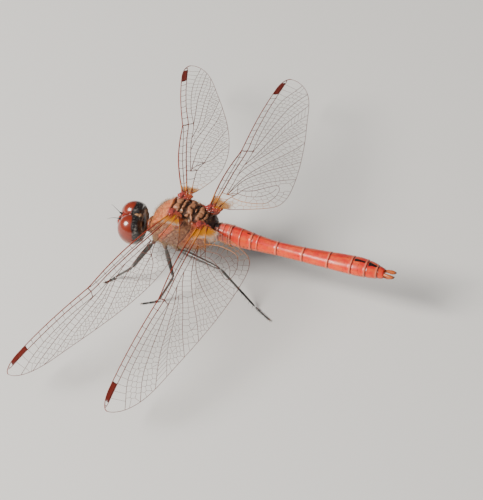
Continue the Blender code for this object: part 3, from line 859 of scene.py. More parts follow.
def straight_veins(kind):
    """The single cross veins in front of the radius, and the joints of the main veins."""
    nodus, arculus = WINGS[kind]["nodus"], ARCULUS[kind]
    start, end = STIGMA[kind]
    before, beyond = CROSS_VEINS[kind]
    walls = []

    def across(a, b, out, lean=0.0, radius=CROSS_RADIUS):
        walls.append((*(np.array((place, np.interp(place, *PATHS[kind][name][0].T)))
                        for name, place in ((a, out), (b, out + lean))), radius))

    for out in np.linspace(1.9, nodus - 1.35, before):
        across("costa", "subcosta", out, 0.05)
        across("subcosta", "radius", out + 0.06, 0.08)
    for out in np.linspace(nodus + 1.5, start - 1.1, beyond):
        across("costa", "radius", out, 0.25)
    across("costa", "radius", nodus, 0.1, 0.075)
    across("radius", "sector", nodus + 0.1, 0.35, 0.055)
    across("costa", "radius", end + 0.45, 0.1)
    across("radius", "anal", arculus, 0.0, 0.05)
    across("radius", "anal", arculus * 0.6, 0.1, 0.035)
    a, b, c = (behind_front(kind, *corner) for corner in TRIANGLE[kind])
    walls += [(*ends, TRIANGLE_RADIUS) for ends in ((a, b), (b, c), (c, a))]
    walls.append(((a + c) / 2 + 0.15 * (a - c), (b + c) / 2, 0.03))
    if kind == "fore":
        inner = behind_front(kind, arculus, 2.3)
        walls += [(a, inner, 0.04), ((a + c) / 2, (inner + c) / 2, 0.03)]
    return walls


def joined(walls, paths):
    """The small veins with each loose end led to the nearest long vein, or left out if far."""
    ends = np.array(walls).reshape(-1, 2)
    led, long = map(np.array, zip(*(nearest_on(path, ends) for path in paths)))
    gaps = np.linalg.norm(ends[:, None] - ends[None], axis=2)
    np.fill_diagonal(gaps, math.inf)
    loose = (gaps.min(1) > 0.03) & (long.min(0) > 0.05)
    ends[loose] = led[long.argmin(0), np.arange(len(ends))][loose]
    kept = ~(loose & (long.min(0) >= 0.6)).reshape(-1, 2).any(1)
    return ends.reshape(-1, 2, 2)[kept]


def add_membrane(name, kind, side):
    """A thin closed sheet, finer towards the front where the pleats are close."""
    rows, columns = 150, 44
    start_out, start_back = ROOT_EDGE[kind]
    out = WINGS[kind]["length"] * np.sin(np.linspace(0, math.pi / 2, rows - 1)) * 0.9998
    out = np.r_[-start_out, out]
    front, back = wing_edges(kind, np.maximum(out, 0.0))
    front[0], back[0] = 0.0, start_back
    share = np.linspace(0.0, 1.0, columns) ** 1.25
    u = np.repeat(out, columns)
    v = (front[:, None] + (back - front)[:, None] * share).ravel()
    middle = on_wing(kind, side, np.column_stack([u, v]))
    half = (0.0, 0.0, MEMBRANE_HALF)
    reach_out, reach_back = AMBER[kind]
    stain = np.hypot(u / reach_out, (v - 0.3 * reach_back) / reach_back)
    stain += 0.18 * np.sin(v * 2.3 + u) * np.cos(u * 1.9)
    film = Shape()
    film.add((np.vstack([middle + half, middle - half]), sheet(rows, columns)),
             amber=np.tile(fade(0.55, 1.1, stain), 2))
    film.make(f"{name}_membrane", "wing membrane", "wing", name)


def add_net(name, kind, side):
    """Every vein of a wing, the long ones first."""
    paths, reach = PATHS[kind], AMBER[kind][0]
    net = Shape()

    def vein(places, radius, sides, redness, gold=1.0):
        u = places[:, 0]
        golden = gold * window(u, 0.3, 1.0, reach * 0.5, reach * 1.7)
        net.add(tube(on_wing(kind, side, places), radius, sides),
                golden=np.repeat(golden, sides), redness=redness)

    redness = {"costa": 1.0, "radius": 0.55}
    for title, (path, (first, last), _) in paths.items():
        if title != "margin":
            places = resample(path, 110 if title in redness else 48)
            radius = first + (last - first) * np.linspace(0, 1, len(places)) ** 0.45
            if places[0, 0] < 0.1:
                radius = radius + 0.035 * hill(places[:, 0], 0.6)
            vein(places, radius, 8, redness.get(title, 0.15))
    edge = np.vstack([paths["margin"][0][::-1], (0.0, wing_edges(kind, 0.0)[1][0] * 0.5)])
    vein(resample(edge, 170), MARGIN_RADIUS, 6, 0.3, 0.6)
    small = [wall for field in wing_fields(kind) for wall in cell_walls(*field)]
    small = joined(small, [path for path, _, _ in paths.values()])
    for a, b, radius in [(a, b, CELL_RADIUS) for a, b in small] + straight_veins(kind):
        vein(np.array([a, (a + b) / 2, b]), radius, 5, 0.1)
    net.make(f"{name}_veins", "wing vein", "wing_vein")


def add_spot(name, kind, side):
    """The wing spot: a thickened cell between the front edge and the radius."""
    rows, columns = 40, 14
    start, end = STIGMA[kind]
    along = np.linspace(0.0, 1.0, rows)[:, None]
    out = start + (end - start) * along
    top, low = (np.interp(out, *PATHS[kind][title][0].T) for title in ("costa", "radius"))
    slant = np.linspace(0.0, 1.0, columns)
    places = np.stack([out + 0.22 * (slant - 0.5), top + (low - top) * slant], -1)
    rim = np.minimum(np.minimum(along, 1 - along) * (end - start),
                     np.minimum(slant, 1 - slant) * (low - top)).reshape(-1)
    middle = on_wing(kind, side, places.reshape(-1, 2))
    puff = (0.035 + 0.05 * smoothstep(0.0, 0.22, rim))[:, None] * (0.0, 0.0, 1.0)
    spot = Shape()
    spot.add((np.vstack([middle + puff, middle - puff]), sheet(rows, columns)),
             edge=np.tile(fade(0.03, 0.16, rim), 2))
    spot.make(f"{name}_spot", "wing spot", "wing_spot")


# ---------------------------------------------------------------- cuticle of the thorax
# Place along the body, lowest and highest point and half width
SKIN_STATIONS = (
    (-4.62, 5.62, 6.48, 0.43), (-4.36, 5.56, 6.54, 0.48), (-4.22, 5.14, 6.96, 0.96),
    (-3.98, 5.02, 7.08, 1.1), (-3.74, 5.12, 7, 1), (-3.62, 5.36, 7.05, 0.92),
    (-3.5, 5.06, 7.75, 1.28), (-3.3, 4.8, 8.3, 1.6), (-2.6, 4.5, 9.35, 2.05),
    (-1.5, 4.38, 10.4, 2.32), (-0.1, 4.42, 11.15, 2.46), (1.3, 4.55, 11.05, 2.48),
    (2.7, 4.85, 10.62, 2.4), (3.9, 5.35, 9.98, 2.15), (4.7, 6, 9.2, 1.55),
    (5.04, 6.75, 8.8, 1.12))
# Seams down the side, as places along and up, and their depth: shoulder, both edges of the
# orange band, hind seam
SIDE_SEAMS = (
    (((-3.1, 5.2), (-3.34, 6.4), (-3.12, 7.5), (-2.76, 8.13), (-1.41, 9.37), (0.3, 10.4)), 0.05),
    (((-2.4, 4.9), (-2.1, 6.5), (-1.66, 7.42), (-0.13, 9.39), (0.5, 10.1)), 0.045),
    (((-1.9, 4.7), (-1.42, 6.24), (0.01, 8.25), (1.1, 9.36), (1.5, 10.05)), 0.06),
    (((-0.3, 4.8), (0.9, 6.6), (2, 8.3), (2.45, 9.3), (2.5, 10)), 0.05))
PANEL_START, PANEL_END = -3.7, 4.9
PANEL_MARKS = (0, 0.21, 0.38, 0.59, 0.8, 1)
# Plates of the back: place across (both sides), place along, radii, height and slant
BACK_DEPTH = 0.26
BACK_PLATES = (
    (0.5, 0.12, 0.44, 0.46, 0.3, 0.25), (1.12, 0.25, 0.2, 0.34, 0.2, 0.5),
    (0, 0.92, 0.52, 0.2, 0.3, 0), (0.78, 0.95, 0.2, 0.22, 0.22, -0.5),
    (1.2, 0.98, 0.22, 0.16, 0.16, 0.3), (0.52, 1.94, 0.45, 0.42, 0.34, -0.3),
    (1.22, 1.72, 0.24, 0.32, 0.24, 0.3), (1.2, 2.32, 0.2, 0.18, 0.2, -0.4),
    (0, 2.58, 0.34, 0.13, 0.22, 0), (0.38, 3.22, 0.36, 0.38, 0.3, 0.25),
    (0.98, 3.08, 0.26, 0.34, 0.26, -0.2), (0, 3.92, 0.66, 0.15, 0.2, 0),
    (0.8, 3.72, 0.22, 0.16, 0.16, 0.5))
# Pale spots: place across and along, and radius
PALE_SPOTS = ((0.88, 0.82, 0.13), (1.6, 2.15, 0.15), (1.2, 4.3, 0.16), (0, 2.3, 0.09))


def thorax_grid(rows=240, columns=252):
    """Points, normals and markings of the skin from the neck to the waist."""
    y = np.linspace(SKIN_STATIONS[0][0], SKIN_STATIONS[-1][0], rows)
    low, high, half_width = through(SKIN_STATIONS, y).T[..., None]
    power = 2 / (2.05 + 0.3 * smoothstep(-3.6, -2.6, y[:, None]))
    cos, sin = ring_angles(columns)
    grid = stacked(half_width * bent(cos, power), y[:, None],
                   (low + high) / 2 + (high - low) / 2 * bent(sin, power))
    normal = normals_of(grid)
    x, y, z = np.abs(grid[..., 0]), grid[..., 1], grid[..., 2]
    top = smoothstep(0.35, 0.75, normal[..., 2])
    back = top * fade(1.5, 1.75, x) * window(y, -0.62, -0.4, 4.35, 4.6)
    flank = smoothstep(0.75, 1.05, x) * (1 - back) * smoothstep(-3.55, -3.4, y)
    push = -BACK_DEPTH * back
    warp = 0.05 * np.sin(5.1 * y + 3.3 * x) + 0.04 * np.sin(8.7 * x - 4.1 * y + 1.0)
    for place, along, wide, deep, rise, slant in BACK_PLATES:
        share = (np.abs((x - place + slant * (y - along) + warp) / wide) ** 3
                 + np.abs((y - along + warp) / deep) ** 3)
        plate = fade(0.25, 1.5, share) * (1 - 0.25 * share.clip(0, 1))
        push = np.maximum(push, back * (rise * plate - BACK_DEPTH))
    edges, dark = [np.full_like(x, PANEL_START)], []
    for seam, depth in SIDE_SEAMS:
        path = smooth_path(seam, 40)
        gap = nearest_on(path, grid[..., 1:].reshape(-1, 2))[1].reshape(x.shape)
        push += flank * (0.035 * hill(gap - 0.2, 0.12) - depth * hill(gap, 0.09))
        dark.append(flank * (0.62 + 0.38 * np.sin(3.1 * z + 2 * y)) * hill(gap, 0.05))
        edges.append(np.interp(z, path[:, 1], path[:, 0]))
    edges.append(np.full_like(x, PANEL_END))
    panel = np.zeros_like(x)
    for start, end, first, last in zip(edges, edges[1:], PANEL_MARKS, PANEL_MARKS[1:]):
        share = np.clip((y - start) / np.maximum(end - start, 0.05), 0.0, 1.0)
        panel = np.where(y >= start, first + (last - first) * share, panel)
    # painted shade in the hollows where the back sinks between its plates
    dark.append(0.85 * back * fade(-0.22, -0.06, push))
    # the ridge down the front, the crest before the wings and the collar
    front = window(y, -3.5, -3.2, -0.75, -0.5) * smoothstep(6.8, 7.6, z)
    crest = top * hill(y + 0.62 + 0.12 * x, 0.13) * fade(1.5, 2.0, x)
    push += 0.07 * front * hill(x, 0.1) + 0.13 * crest
    dark += [0.7 * front * hill(x, 0.035),
             top * hill(y + 0.42 + 0.12 * x, 0.07) * fade(1.5, 1.8, x),
             0.8 * window(y, -3.72, -3.66, -3.58, -3.5)]
    # black folds between the knobs of the back, and the dark hollow above the waist
    waist = smoothstep(4.15, 4.4, y) * smoothstep(7.2, 8.4, z + 0.5 * np.sin(2.6 * x))
    dark += [back * hill(y - 1.32, 0.17) * smoothstep(-0.2, 0.25, x + 0.1 * np.sin(9 * x)),
             back * np.maximum(hill(y - 2.72, 0.1), 0.6 * hill(x, 0.045)),
             waist * (0.93 + 0.07 * np.sin(11 * y + 3 * x))]
    push += 0.07 * window(y, 4.3, 4.5, 4.8, 5.0) * np.sin(9 * y + 1.5 * np.cos(2 * x))
    push += 0.12 * window(y, 4.05, 4.2, 4.2, 4.4) * smoothstep(6.5, 7.5, z)
    pink = top * np.maximum(hill(x - 1.2, 0.5) * hill(y + 0.45, 0.33),
                            hill(x - 1.65, 0.4) * hill(y - 3.0, 0.4))
    pale = greatest([fade(0.6, 1.0, np.hypot(x - place, y - along) / size)
                     for place, along, size in PALE_SPOTS])
    grid = grid + normal * push[..., None]
    return grid, {"panel": panel, "dark": greatest(dark), "back": back * (1 - crest),
                  "pink": 0.8 * pink, "pale": pale * smoothstep(0.2, 0.5, normal[..., 2]),
                  "belly": fade(4.7, 5.5, z) * smoothstep(-3.4, -3.0, y)}


def add_thorax():
    grid, traits = thorax_grid()
    skin = Shape()
    skin.add_grid(grid, **traits)
    skin.make("thorax_skin", "thorax cuticle", "thorax", "thorax", "prothorax", "neck")
    return grid, normals_of(grid), traits["back"]


# Plates at a wing's root: place out and back from it and up, radii, turn, golden, dark
PLATES = (
    (-0.16, -0.02, 0.03, (0.3, 0.2, 0.15), 24, 0, 0),
    (-0.5, -0.12, -0.02, (0.27, 0.17, 0.15), -32, 0.15, 0.1),
    (-0.44, 0.2, -0.04, (0.2, 0.14, 0.12), 12, 0, 0.75),
    (-0.14, 0.3, -0.02, (0.22, 0.13, 0.11), 42, 0.25, 0),
    (-0.72, 0.1, -0.16, (0.22, 0.26, 0.14), 8, 0.3, 0.55),
    (-0.34, 0.5, -0.1, (0.25, 0.17, 0.13), -18, 0.1, 0.2),
    (-0.1, 0.62, -0.02, (0.2, 0.12, 0.1), 58, 0.6, 0),
    (-0.62, 0.45, -0.2, (0.2, 0.2, 0.14), 0, 0, 0.9),
    (-0.3, 0.84, -0.12, (0.24, 0.15, 0.12), 16, 0.5, 0.1),
    (0.02, 1, -0.04, (0.22, 0.12, 0.09), 64, 0.8, 0),
    (-0.5, 0.78, -0.26, (0.24, 0.2, 0.15), -10, 0.2, 0.7),
    (-0.18, 1.22, -0.14, (0.22, 0.13, 0.1), 34, 0.6, 0.3))
PLATE_STRETCH = (1.35, 1.55, 0.85)
# Struts: how far out they reach, how far back they stand, and radius
STRUTS = ((0.5, 0.1, 0.11), (0.55, 0.34, 0.09), (0.7, 0.6, 0.08), (0.6, 1.15, 0.07))
ROOT_DEPTH = {"fore": 1.0, "hind": 1.2}


def add_wing_joints():
    """Hard plates, struts and folds between the thorax and each wing's root."""
    joints = Shape()
    for kind, depth in ROOT_DEPTH.items():
        root = np.array(WINGS[kind]["root"])
        for side, _ in SIDES:
            # the soft fold under the wing's root
            joints.add(lump(flip(root + (-0.5, 0.5 * depth, -0.4), side),
                            (0.42, 0.72 * depth, 0.32), 48, 32, 2.3,
                            lambda x, y, z: 1 + 0.05 * np.sin(7 * y + 4 * z), side * -6),
                       golden=0.3,
                       dark=lambda x, y, z: 0.55 + 0.4 * hill(np.sin(5.5 * y), 0.35))
            for across, along, up, radii, lean, gold, black in PLATES:
                spot = flip(root + (across, along * depth, up), side)
                # the dark trait rises towards each plate's lower side: painted shade in the gaps
                # beneath the plates
                joints.add(
                    lump(spot, np.array(radii) * PLATE_STRETCH, 32, 20, 3.6,
                         lambda x, y, z: 1 + 0.13 * np.sin(3 * x + 2 * y + 9 * along)
                         + 0.07 * np.sin(7 * x - 5 * y + 17 * across), side * lean),
                    golden=gold, dark=lambda x, y, z: np.maximum(
                        black, 0.95 * smoothstep(0.25, 1.0, (spot[2] - z) / radii[2] + 0.35)))
            for out, back, thick in STRUTS:
                ends = on_wing(kind, side, [(-0.4, back * 0.8), (-0.05, back), (out, back * 1.1)])
                ends[0, 2] -= 0.12
                joints.add(swelling(ends, (thick, thick * 1.15, thick * 0.5), 12, 10),
                           golden=0.75)
            # the pale elastic cord along the hind edge of the root
            rear = depth * 1.45
            ends = on_wing(kind, side, [(-0.5, rear * 0.75), (-0.15, rear * 0.9), (0.12, rear)])
            ends[0, 2] -= 0.35
            joints.add(tube(ends, (0.07, 0.06, 0.045), 8), golden=0.9)
    joints.make("wing_joint_plates", "wing joint plates", "thorax")


# ---------------------------------------------------------------- cuticle of the abdomen
SEGMENT_ENDS = np.array((0.6, 2.3, 5.0, 8.3, 11.75, 15.15, 18.15, 20.0, 21.4, 22.15))
SEGMENT_STARTS = np.r_[0.0, SEGMENT_ENDS[:-1]]
# Place along, half width, half height and height of the middle
ABDOMEN_STATIONS = (
    (0, 1, 1.05, 7.85), (0.6, 1.12, 1.2, 7.85), (2.3, 1.26, 1.3, 7.75),
    (4, 1.16, 1.22, 7.6), (6.5, 0.94, 1, 7.45), (9, 0.88, 0.9, 7.45),
    (13, 1.05, 0.92, 7.6), (16.5, 1.26, 1, 7.8), (19, 1.32, 1.06, 7.9),
    (20.6, 1.1, 0.94, 7.88), (21.6, 0.8, 0.76, 7.8), (22.15, 0.66, 0.62, 7.76))
CROSS_RIDGES = (1.25, 1.95, 3.5, 5.75)
# Dots on the side of each middle segment: share of its length, radius and height
SIDE_DOTS = ((0.3, 0.09, -0.12), (0.52, 0.12, -0.3), (0.68, 0.16, -0.2), (0.86, 0.1, -0.08))
# Marks along the back: segment, half width, first and last share of its length, and taper
BACK_MARKS = ((7, 0.26, 0.1, 0.9, 0.2), (8, 0.46, 0.12, 0.92, 0.75), (2, 0.07, 0.72, 0.95, 0.3))


def add_abdomen(rows=470, columns=96):
    s = np.linspace(-0.25, ABDOMEN_SPAN - 0.02, rows)[:, None]
    stations = through(ABDOMEN_STATIONS, np.maximum(s[:, 0], 0.0))
    half_width, half_height, middle = stations.T[..., None]
    index = np.clip(np.searchsorted(SEGMENT_ENDS, s), 0, len(SEGMENT_ENDS) - 1)
    from_start, to_end = s - SEGMENT_STARTS[index], SEGMENT_ENDS[index] - s
    share = np.clip(from_start / (SEGMENT_ENDS - SEGMENT_STARTS)[index], 0.0, 1.0)
    first, last = index == 0, index == len(SEGMENT_ENDS) - 1
    swell = 0.965 + 0.02 * np.sin(math.pi * share) + 0.045 * hill(to_end - 0.14, 0.13) * ~last
    swell -= 0.055 * hill(from_start, 0.1) * ~first
    # a ridge along the back, a fold low on each side and a flatter belly
    cos, sin = ring_angles(columns)
    ridge = 0.075 * np.maximum(0.0, 1 - 3 * np.abs(cos)) * (sin > 0)
    fold = 1 + 0.05 * hill(sin + 0.62, 0.07) - 0.06 * hill(sin + 0.8, 0.07)
    lift = np.where(sin > 0, sin, 0.88 * sin) + ridge
    width = half_width * swell * cos * fold
    height = middle + half_height * swell * lift * fold
    grid = stacked(width, ABDOMEN_START + s, height)
    normal = normals_of(grid)
    past = [s - place for place in CROSS_RIDGES]
    push = sum(0.03 * hill(gap, 0.06) for gap in past)
    seam = greatest([hill(from_start - 0.05, 0.11) * ~first]
                    + [0.85 * hill(gap - 0.1, 0.055) for gap in past])
    rim = greatest([0.75 * hill(to_end - 0.1, 0.07) * ~last]
                   + [0.5 * hill(gap, 0.05) for gap in past])
    over = np.arctan2(np.abs(width), np.maximum(height - middle, 1e-6)) * half_width
    dark = [0.85 * hill(over, 0.45) * (sin > 0) * first * smoothstep(0.0, 0.2, share),
            0.9 * fade(-0.1, 0.25, s), 0.85 * hill(sin + 0.82, 0.045) * (s > 2.3)]
    for k in range(2, 8):
        for place, size, level in SIDE_DOTS:
            along = SEGMENT_STARTS[k] + place * (SEGMENT_ENDS[k] - SEGMENT_STARTS[k])
            level = level - 0.03 * np.sin(3 * k + 9 * place)
            dot = np.hypot((s - along) / size, (sin - level) / 0.075)
            dark.append(0.8 * fade(0.4, 1.2, dot))
    for k, wide, start, end, taper in BACK_MARKS:
        along = np.clip((share - start) / (end - start), 0.0, 1.0)
        spread = wide * (1 - taper * along) * (1 + 0.2 * np.sin(6 * along + k))
        ends = window(share, start - 0.05, start + 0.08, end - 0.1, end + 0.04) * (index == k)
        dark.append(fade(0.3, 1.5, over / spread) * ends * (sin > 0))
    # grey pink over the first segment, and a painted highlight on top across the first joint
    bloom = 0.9 * first + 0.45 * hill(s - 0.75, 0.3) * (sin > 0.1)
    grid = grid + normal * push[..., None]
    skin = Shape()
    skin.add_grid(grid, height=(sin + 1) / 2, seam=seam, rim=rim, dark=greatest(dark),
                  bloom=np.clip(bloom, 0, 1))
    skin.make("abdomen_skin", "abdomen cuticle", "abdomen",
              *[f"abdomen_{k}" for k in range(1, 11)])
    return grid, normal


def add_tail():
    """The pair of claspers, the plate below them and the parts under the second segment."""
    tip = np.array((0.0, ABDOMEN_START + ABDOMEN_SPAN, 0.0))
    horns, under = Shape(), Shape()
    for side, _ in SIDES:
        path = tip + flip(((0.3, -0.15, 7.9), (0.36, 0.35, 7.96), (0.42, 0.8, 7.9),
                           (0.42, 1.2, 7.92), (0.38, CERCUS_LENGTH, 8.06)), side)
        horns.add(swelling(path, (0.17, 0.2, 0.25, 0.19, 0.05), 26, 16),
                  dark=lambda x, y, z: smoothstep(1.05, 1.45, y - tip[1]))
        for k in range(7):
            base = tip + flip((0.41, 0.55 + 0.08 * k, 7.7), side)
            horns.add(cone(base, base + (0.0, 0.02, -0.09), 0.022, 5), dark=1.0)
    path = tip + ((0.0, -0.15, 7.42), (0.0, 0.4, 7.32), (0.0, 0.8, 7.36), (0.0, 1.08, 7.52))
    horns.add(swelling(path, (0.3, 0.32, 0.26, 0.12), 20, 16, squash=0.5),
              dark=lambda x, y, z: 0.8 * smoothstep(0.8, 1.08, y - tip[1]))
    horns.make("tail_claspers", "tail horn", "cercus", "cercus_left", "cercus_right",
               "epiproct")
    place = np.array((0.0, ABDOMEN_START + 1.7, 0.0))
    under.add(lump(place + (0.0, 0.0, 6.42), (0.42, 0.62, 0.4), squareness=2.2,
                   shape=lambda x, y, z: 1 + 0.12 * np.sin(6 * y)), dark=0.35)
    for side, _ in SIDES:
        path = place + flip(((0.3, -0.1, 6.35), (0.36, 0.25, 6.1), (0.22, 0.5, 5.98)), side)
        under.add(swelling(path, (0.12, 0.11, 0.04), 12, 8), dark=0.8)
    under.make("under_parts", "tail horn", "thorax", "hamule")


# ---------------------------------------------------------------- head
HEAD_TURN = spin(HEAD_YAW, "Z") @ spin(HEAD_ROLL, "Y") @ spin(HEAD_PITCH, "X")
EYE_CRISPNESS = 34.0
EYE_SPOTS = (((2.35, -1.05, 0.35), 0.3), ((2.2, -1.15, -0.5), 0.2),
             ((2.62, -0.62, -0.1), 0.17), ((1.75, -1.5, 0.95), 0.16))
# Plates of the face from the forehead down to the lower lip: bottom edge, depth of the crease
# below, bulge and paleness
FACE_PLATES = ((-0.1, 0.07, 0.1, 0), (-0.56, 0.05, 0.07, 0.12), (-0.8, 0.06, 0.03, 0.5),
               (-1.3, 0.1, 0.09, 0.2), (-2.12, 0, 0.12, 0.75))
# Height, how far the face stands forward and its half width
FACE_STATIONS = (
    (-2.12, 0.95, 0.3), (-1.98, 1.25, 0.72), (-1.7, 1.5, 0.98), (-1.35, 1.68, 1.04),
    (-1.1, 1.84, 0.98), (-0.82, 1.88, 0.92), (-0.58, 1.95, 1.02), (-0.3, 2.03, 1.06),
    (0.05, 2.06, 1.04), (0.45, 2.04, 0.97), (0.75, 1.9, 0.85), (0.95, 1.66, 0.66),
    (1.02, 1.35, 0.4))
FACE_BACK = 0.95


def on_head(points):
    return np.asarray(points, float) @ HEAD_TURN.T + HEAD_CENTRE


def add_eye(side, label):
    """An ellipsoid softly cut at the middle of the head, at its back and along the face."""
    centre = flip(EYE_CENTRE, side)
    inward = unit(np.cross(flip(FACE_BOTTOM - FACE_TOP, side), flip(FACE_TAPER, side)))
    inward *= -np.sign(inward[0] * side)
    ball, faces = lump((0.0, 0.0, 0.0), EYE_RADII, 120, 80)
    ball = ball @ spin(-side * EYE_LEAN, "Y").T
    total = np.ones(len(ball))
    for point, normal in (((side * 0.02, 0.0, 0.0), (-side, 0.0, 0.0)),
                          ((0.0, BACK_OF_EYES, 0.0), (0.0, 1.0, 0.0)),
                          (flip(FACE_TOP, side) - 0.02 * inward, inward)):
        room = (point - centre) @ normal
        total += (np.maximum(ball @ normal, 0.0) / room) ** EYE_CRISPNESS
    points = centre + ball * (total ** (-1 / EYE_CRISPNESS))[:, None]
    x, y, z = points.T
    behind = y - 0.3 + 0.42 * hill(np.abs(x), 0.7)
    spot = sum(hill(np.linalg.norm(points - flip(place, side), axis=1), size)
               for place, size in EYE_SPOTS)
    eye = Shape(on_head)
    # the last trait is a band of painted sheen over the black cap
    eye.add((points, faces), cap=smoothstep(-0.1, 0.16, behind + 0.05 * np.sin(5 * z)),
            low=fade(-1.3, 0.1, z + 0.25 * y), spot=np.clip(spot, 0, 1),
            sheen=hill(behind - 0.42 - 0.06 * np.sin(6 * z), 0.26) * smoothstep(-0.2, 0.6, z))
    eye.make(f"compound_eye_{label}", "compound eye", "eye", f"eye_{label}")


def add_face():
    """The face as one shield of plates with creases between them, and the knob above it."""
    rows, columns = 150, 96
    top = FACE_STATIONS[-1][0]
    z = np.linspace(FACE_STATIONS[0][0], top, rows)[:, None]
    ahead, half_width = through(FACE_STATIONS, z[:, 0]).T[..., None]
    crease, bulge, pale = np.zeros((3, rows, 1))
    for bottom, depth, swell, tan in FACE_PLATES:
        share = np.clip((top - z) / (top - bottom), 0.0, 1.0)
        bulge += swell * np.sin(math.pi * share) - depth * hill(z - bottom, 0.035)
        crease += (depth > 0) * hill(z - bottom, 0.032)
        pale = np.where((z >= bottom) & (z < top), tan, pale)
        top = bottom
    cos, sin = ring_angles(columns)
    x = (half_width + 0.6 * bulge) * bent(cos, 0.8)
    y = -FACE_BACK - np.where(sin > 0, ahead + bulge - FACE_BACK, 0.6) * bent(sin, 0.8)
    # a shallow furrow down the forehead, pits beside it and a notch in the lower lip
    furrow = (hill(x, 0.1) * smoothstep(0.1, 0.5, z)
              + 0.8 * hill(x, 0.05) * smoothstep(-1.45, -1.5, z))
    grid = stacked(x, y + np.where(sin > 0, 0.07 * furrow, 0.0), z)
    dark = greatest([crease * 0.8, 0.5 * furrow, smoothstep(0.86, 0.97, z)])
    shield = Shape(on_head)
    shield.add_grid(grid, dark=np.clip(dark, 0, 1), pale=pale)
    shield.add(lump((0.0, -1.05, 1.02), (0.42, 0.4, 0.4), 48, 32, 2.3,
                    lambda x, y, z: 1 + 0.14 * hill(np.abs(x) - 0.6, 0.3) * (z > 0)), dark=0.1)
    for side, _ in SIDES:
        # jaws at the corners of the mouth
        shield.add(lump((side * 0.86, -1.2, -1.12), (0.26, 0.5, 0.36), squareness=2.2),
                   dark=0.25, pale=0.3)
    shield.make("face_shield", "face cuticle", "face", "face", "vertex", "mouth")
    placed = on_head(grid)
    return placed, normals_of(placed), grid[..., 2]


def add_back_of_head(rings=40, columns=240):
    """A rim that follows the eyes and dishes in towards the neck."""
    turn = (np.arange(columns) / columns * math.tau)[None]
    share = np.linspace(0.0, 1.0, rings)[:, None]
    cos, sin = np.cos(turn), np.sin(turn)
    outline = (np.abs(cos / 2.34) ** 2.3 + np.abs(sin / 1.58) ** 2.3) ** (-1 / 2.3)
    outline *= 1 - 0.14 * hill(cos, 0.22) * (sin > 0) - 0.1 * hill(cos, 0.3) * (sin < 0)
    ring = outline * (1.0 - 0.86 * share)
    depth = 1.15 + 0.2 * hill(share - 0.2, 0.12) + 0.16 * smoothstep(0.62, 0.95, share)
    depth += 0.06 * smoothstep(0.0, 0.1, share)
    wrinkle = 0.022 * np.sin(23 * turn + 1.7 * np.sin(5 * turn)) + 0.02 * np.sin(9 * turn + 1.0)
    wrinkle = wrinkle * 1.4 * hill(share - 0.24, 0.14)
    inside = smoothstep(0.6, 0.78, share) + fade(0.2, 0.32, share)
    patch = hill(np.sin(2 * turn + 0.4), 0.3) + 0.8 * hill(np.sin(4.5 * turn), 0.22)
    beside = smoothstep(-0.4, 0.0, sin) * (0.55 + 0.45 * np.sin(9 * turn + 1.2))
    pale = beside * hill(share - 0.36 - 0.05 * np.sin(7 * turn), 0.17)
    back = Shape(on_head)
    back.add_grid(stacked(ring * cos, depth + wrinkle, 0.05 + ring * sin),
                  dark=np.clip(0.92 * inside + 0.55 * patch, 0, 1), pale=np.clip(pale, 0, 1))
    for centre, radii, tone in (((0.0, 0.62, 1.44), (0.2, 0.34, 0.17), 0.0),
                                ((0.0, 1.02, 1.26), (0.34, 0.26, 0.24), 0.6)):
        back.add(lump(centre, radii, 32, 20, 2.3), dark=tone, pale=0.3)
    back.make("back_of_head", "back of the head", "head", "head")


def add_head():
    for side, label in SIDES:
        add_eye(side, label)
    face = add_face()
    beads = Shape(on_head)
    for centre in ((0.0, -1.42, 1.12), (0.4, -1.12, 1.06), (-0.4, -1.12, 1.06)):
        beads.add(lump(centre, (0.1,) * 3, 20, 14), cap=0.0, low=1.0)
    beads.make("ocelli", "compound eye", "eye")
    for side, label in SIDES:
        feeler = Shape()
        base = flip(((0.4, -1.4, 1.08), (0.46, -1.62, 1.22), (0.5, -1.8, 1.36)), side)
        feeler.add(swelling(on_head(base), (0.11, 0.13, 0.09), 12, 12))
        thread = smooth_path(flip(((0.5, -1.75, 1.33), (0.72, -2.15, 1.68), (0.98, -2.55, 1.92),
                                   (1.22, -2.88, 1.98)), side), 30)
        feeler.add(tube(on_head(thread), np.linspace(0.045, 0.014, 30), 8))
        feeler.make(f"feeler_{label}", "leg horn", "leg", f"antenna_{label}")
    add_back_of_head()
    return face


# ---------------------------------------------------------------- legs
THIGH = {"fore": 0.29, "mid": 0.3, "hind": 0.31}
# How much of the right legs' shift each joint takes
JOINTS = {"socket": 0.0, "hip": 0.0, "knee": 0.6, "ankle": 1.0, "toe": 1.0}


def add_spines(limb, start, end, thick, count, longest, shortest, lean, radius):
    """Two rows of spines under one length of a leg."""
    axis = unit(end - start)
    flat = unit(np.cross(axis, (0.0, 0.0, 1.0)))
    under = np.cross(axis, flat)
    under *= -np.sign(under[2]) if abs(under[2]) > 0.05 else 1.0
    for share in np.linspace(0.1, 0.94, count):
        for spread, _ in SIDES:
            out = unit(0.75 * under + spread * lean * flat)
            base = start + share * (end - start) + out * thick * 0.75
            tip = base + (longest + (shortest - longest) * share) * (0.82 * out + 0.57 * axis)
            tip[2] = max(tip[2], 0.03)
            limb.add(cone(base, tip, radius, 5))


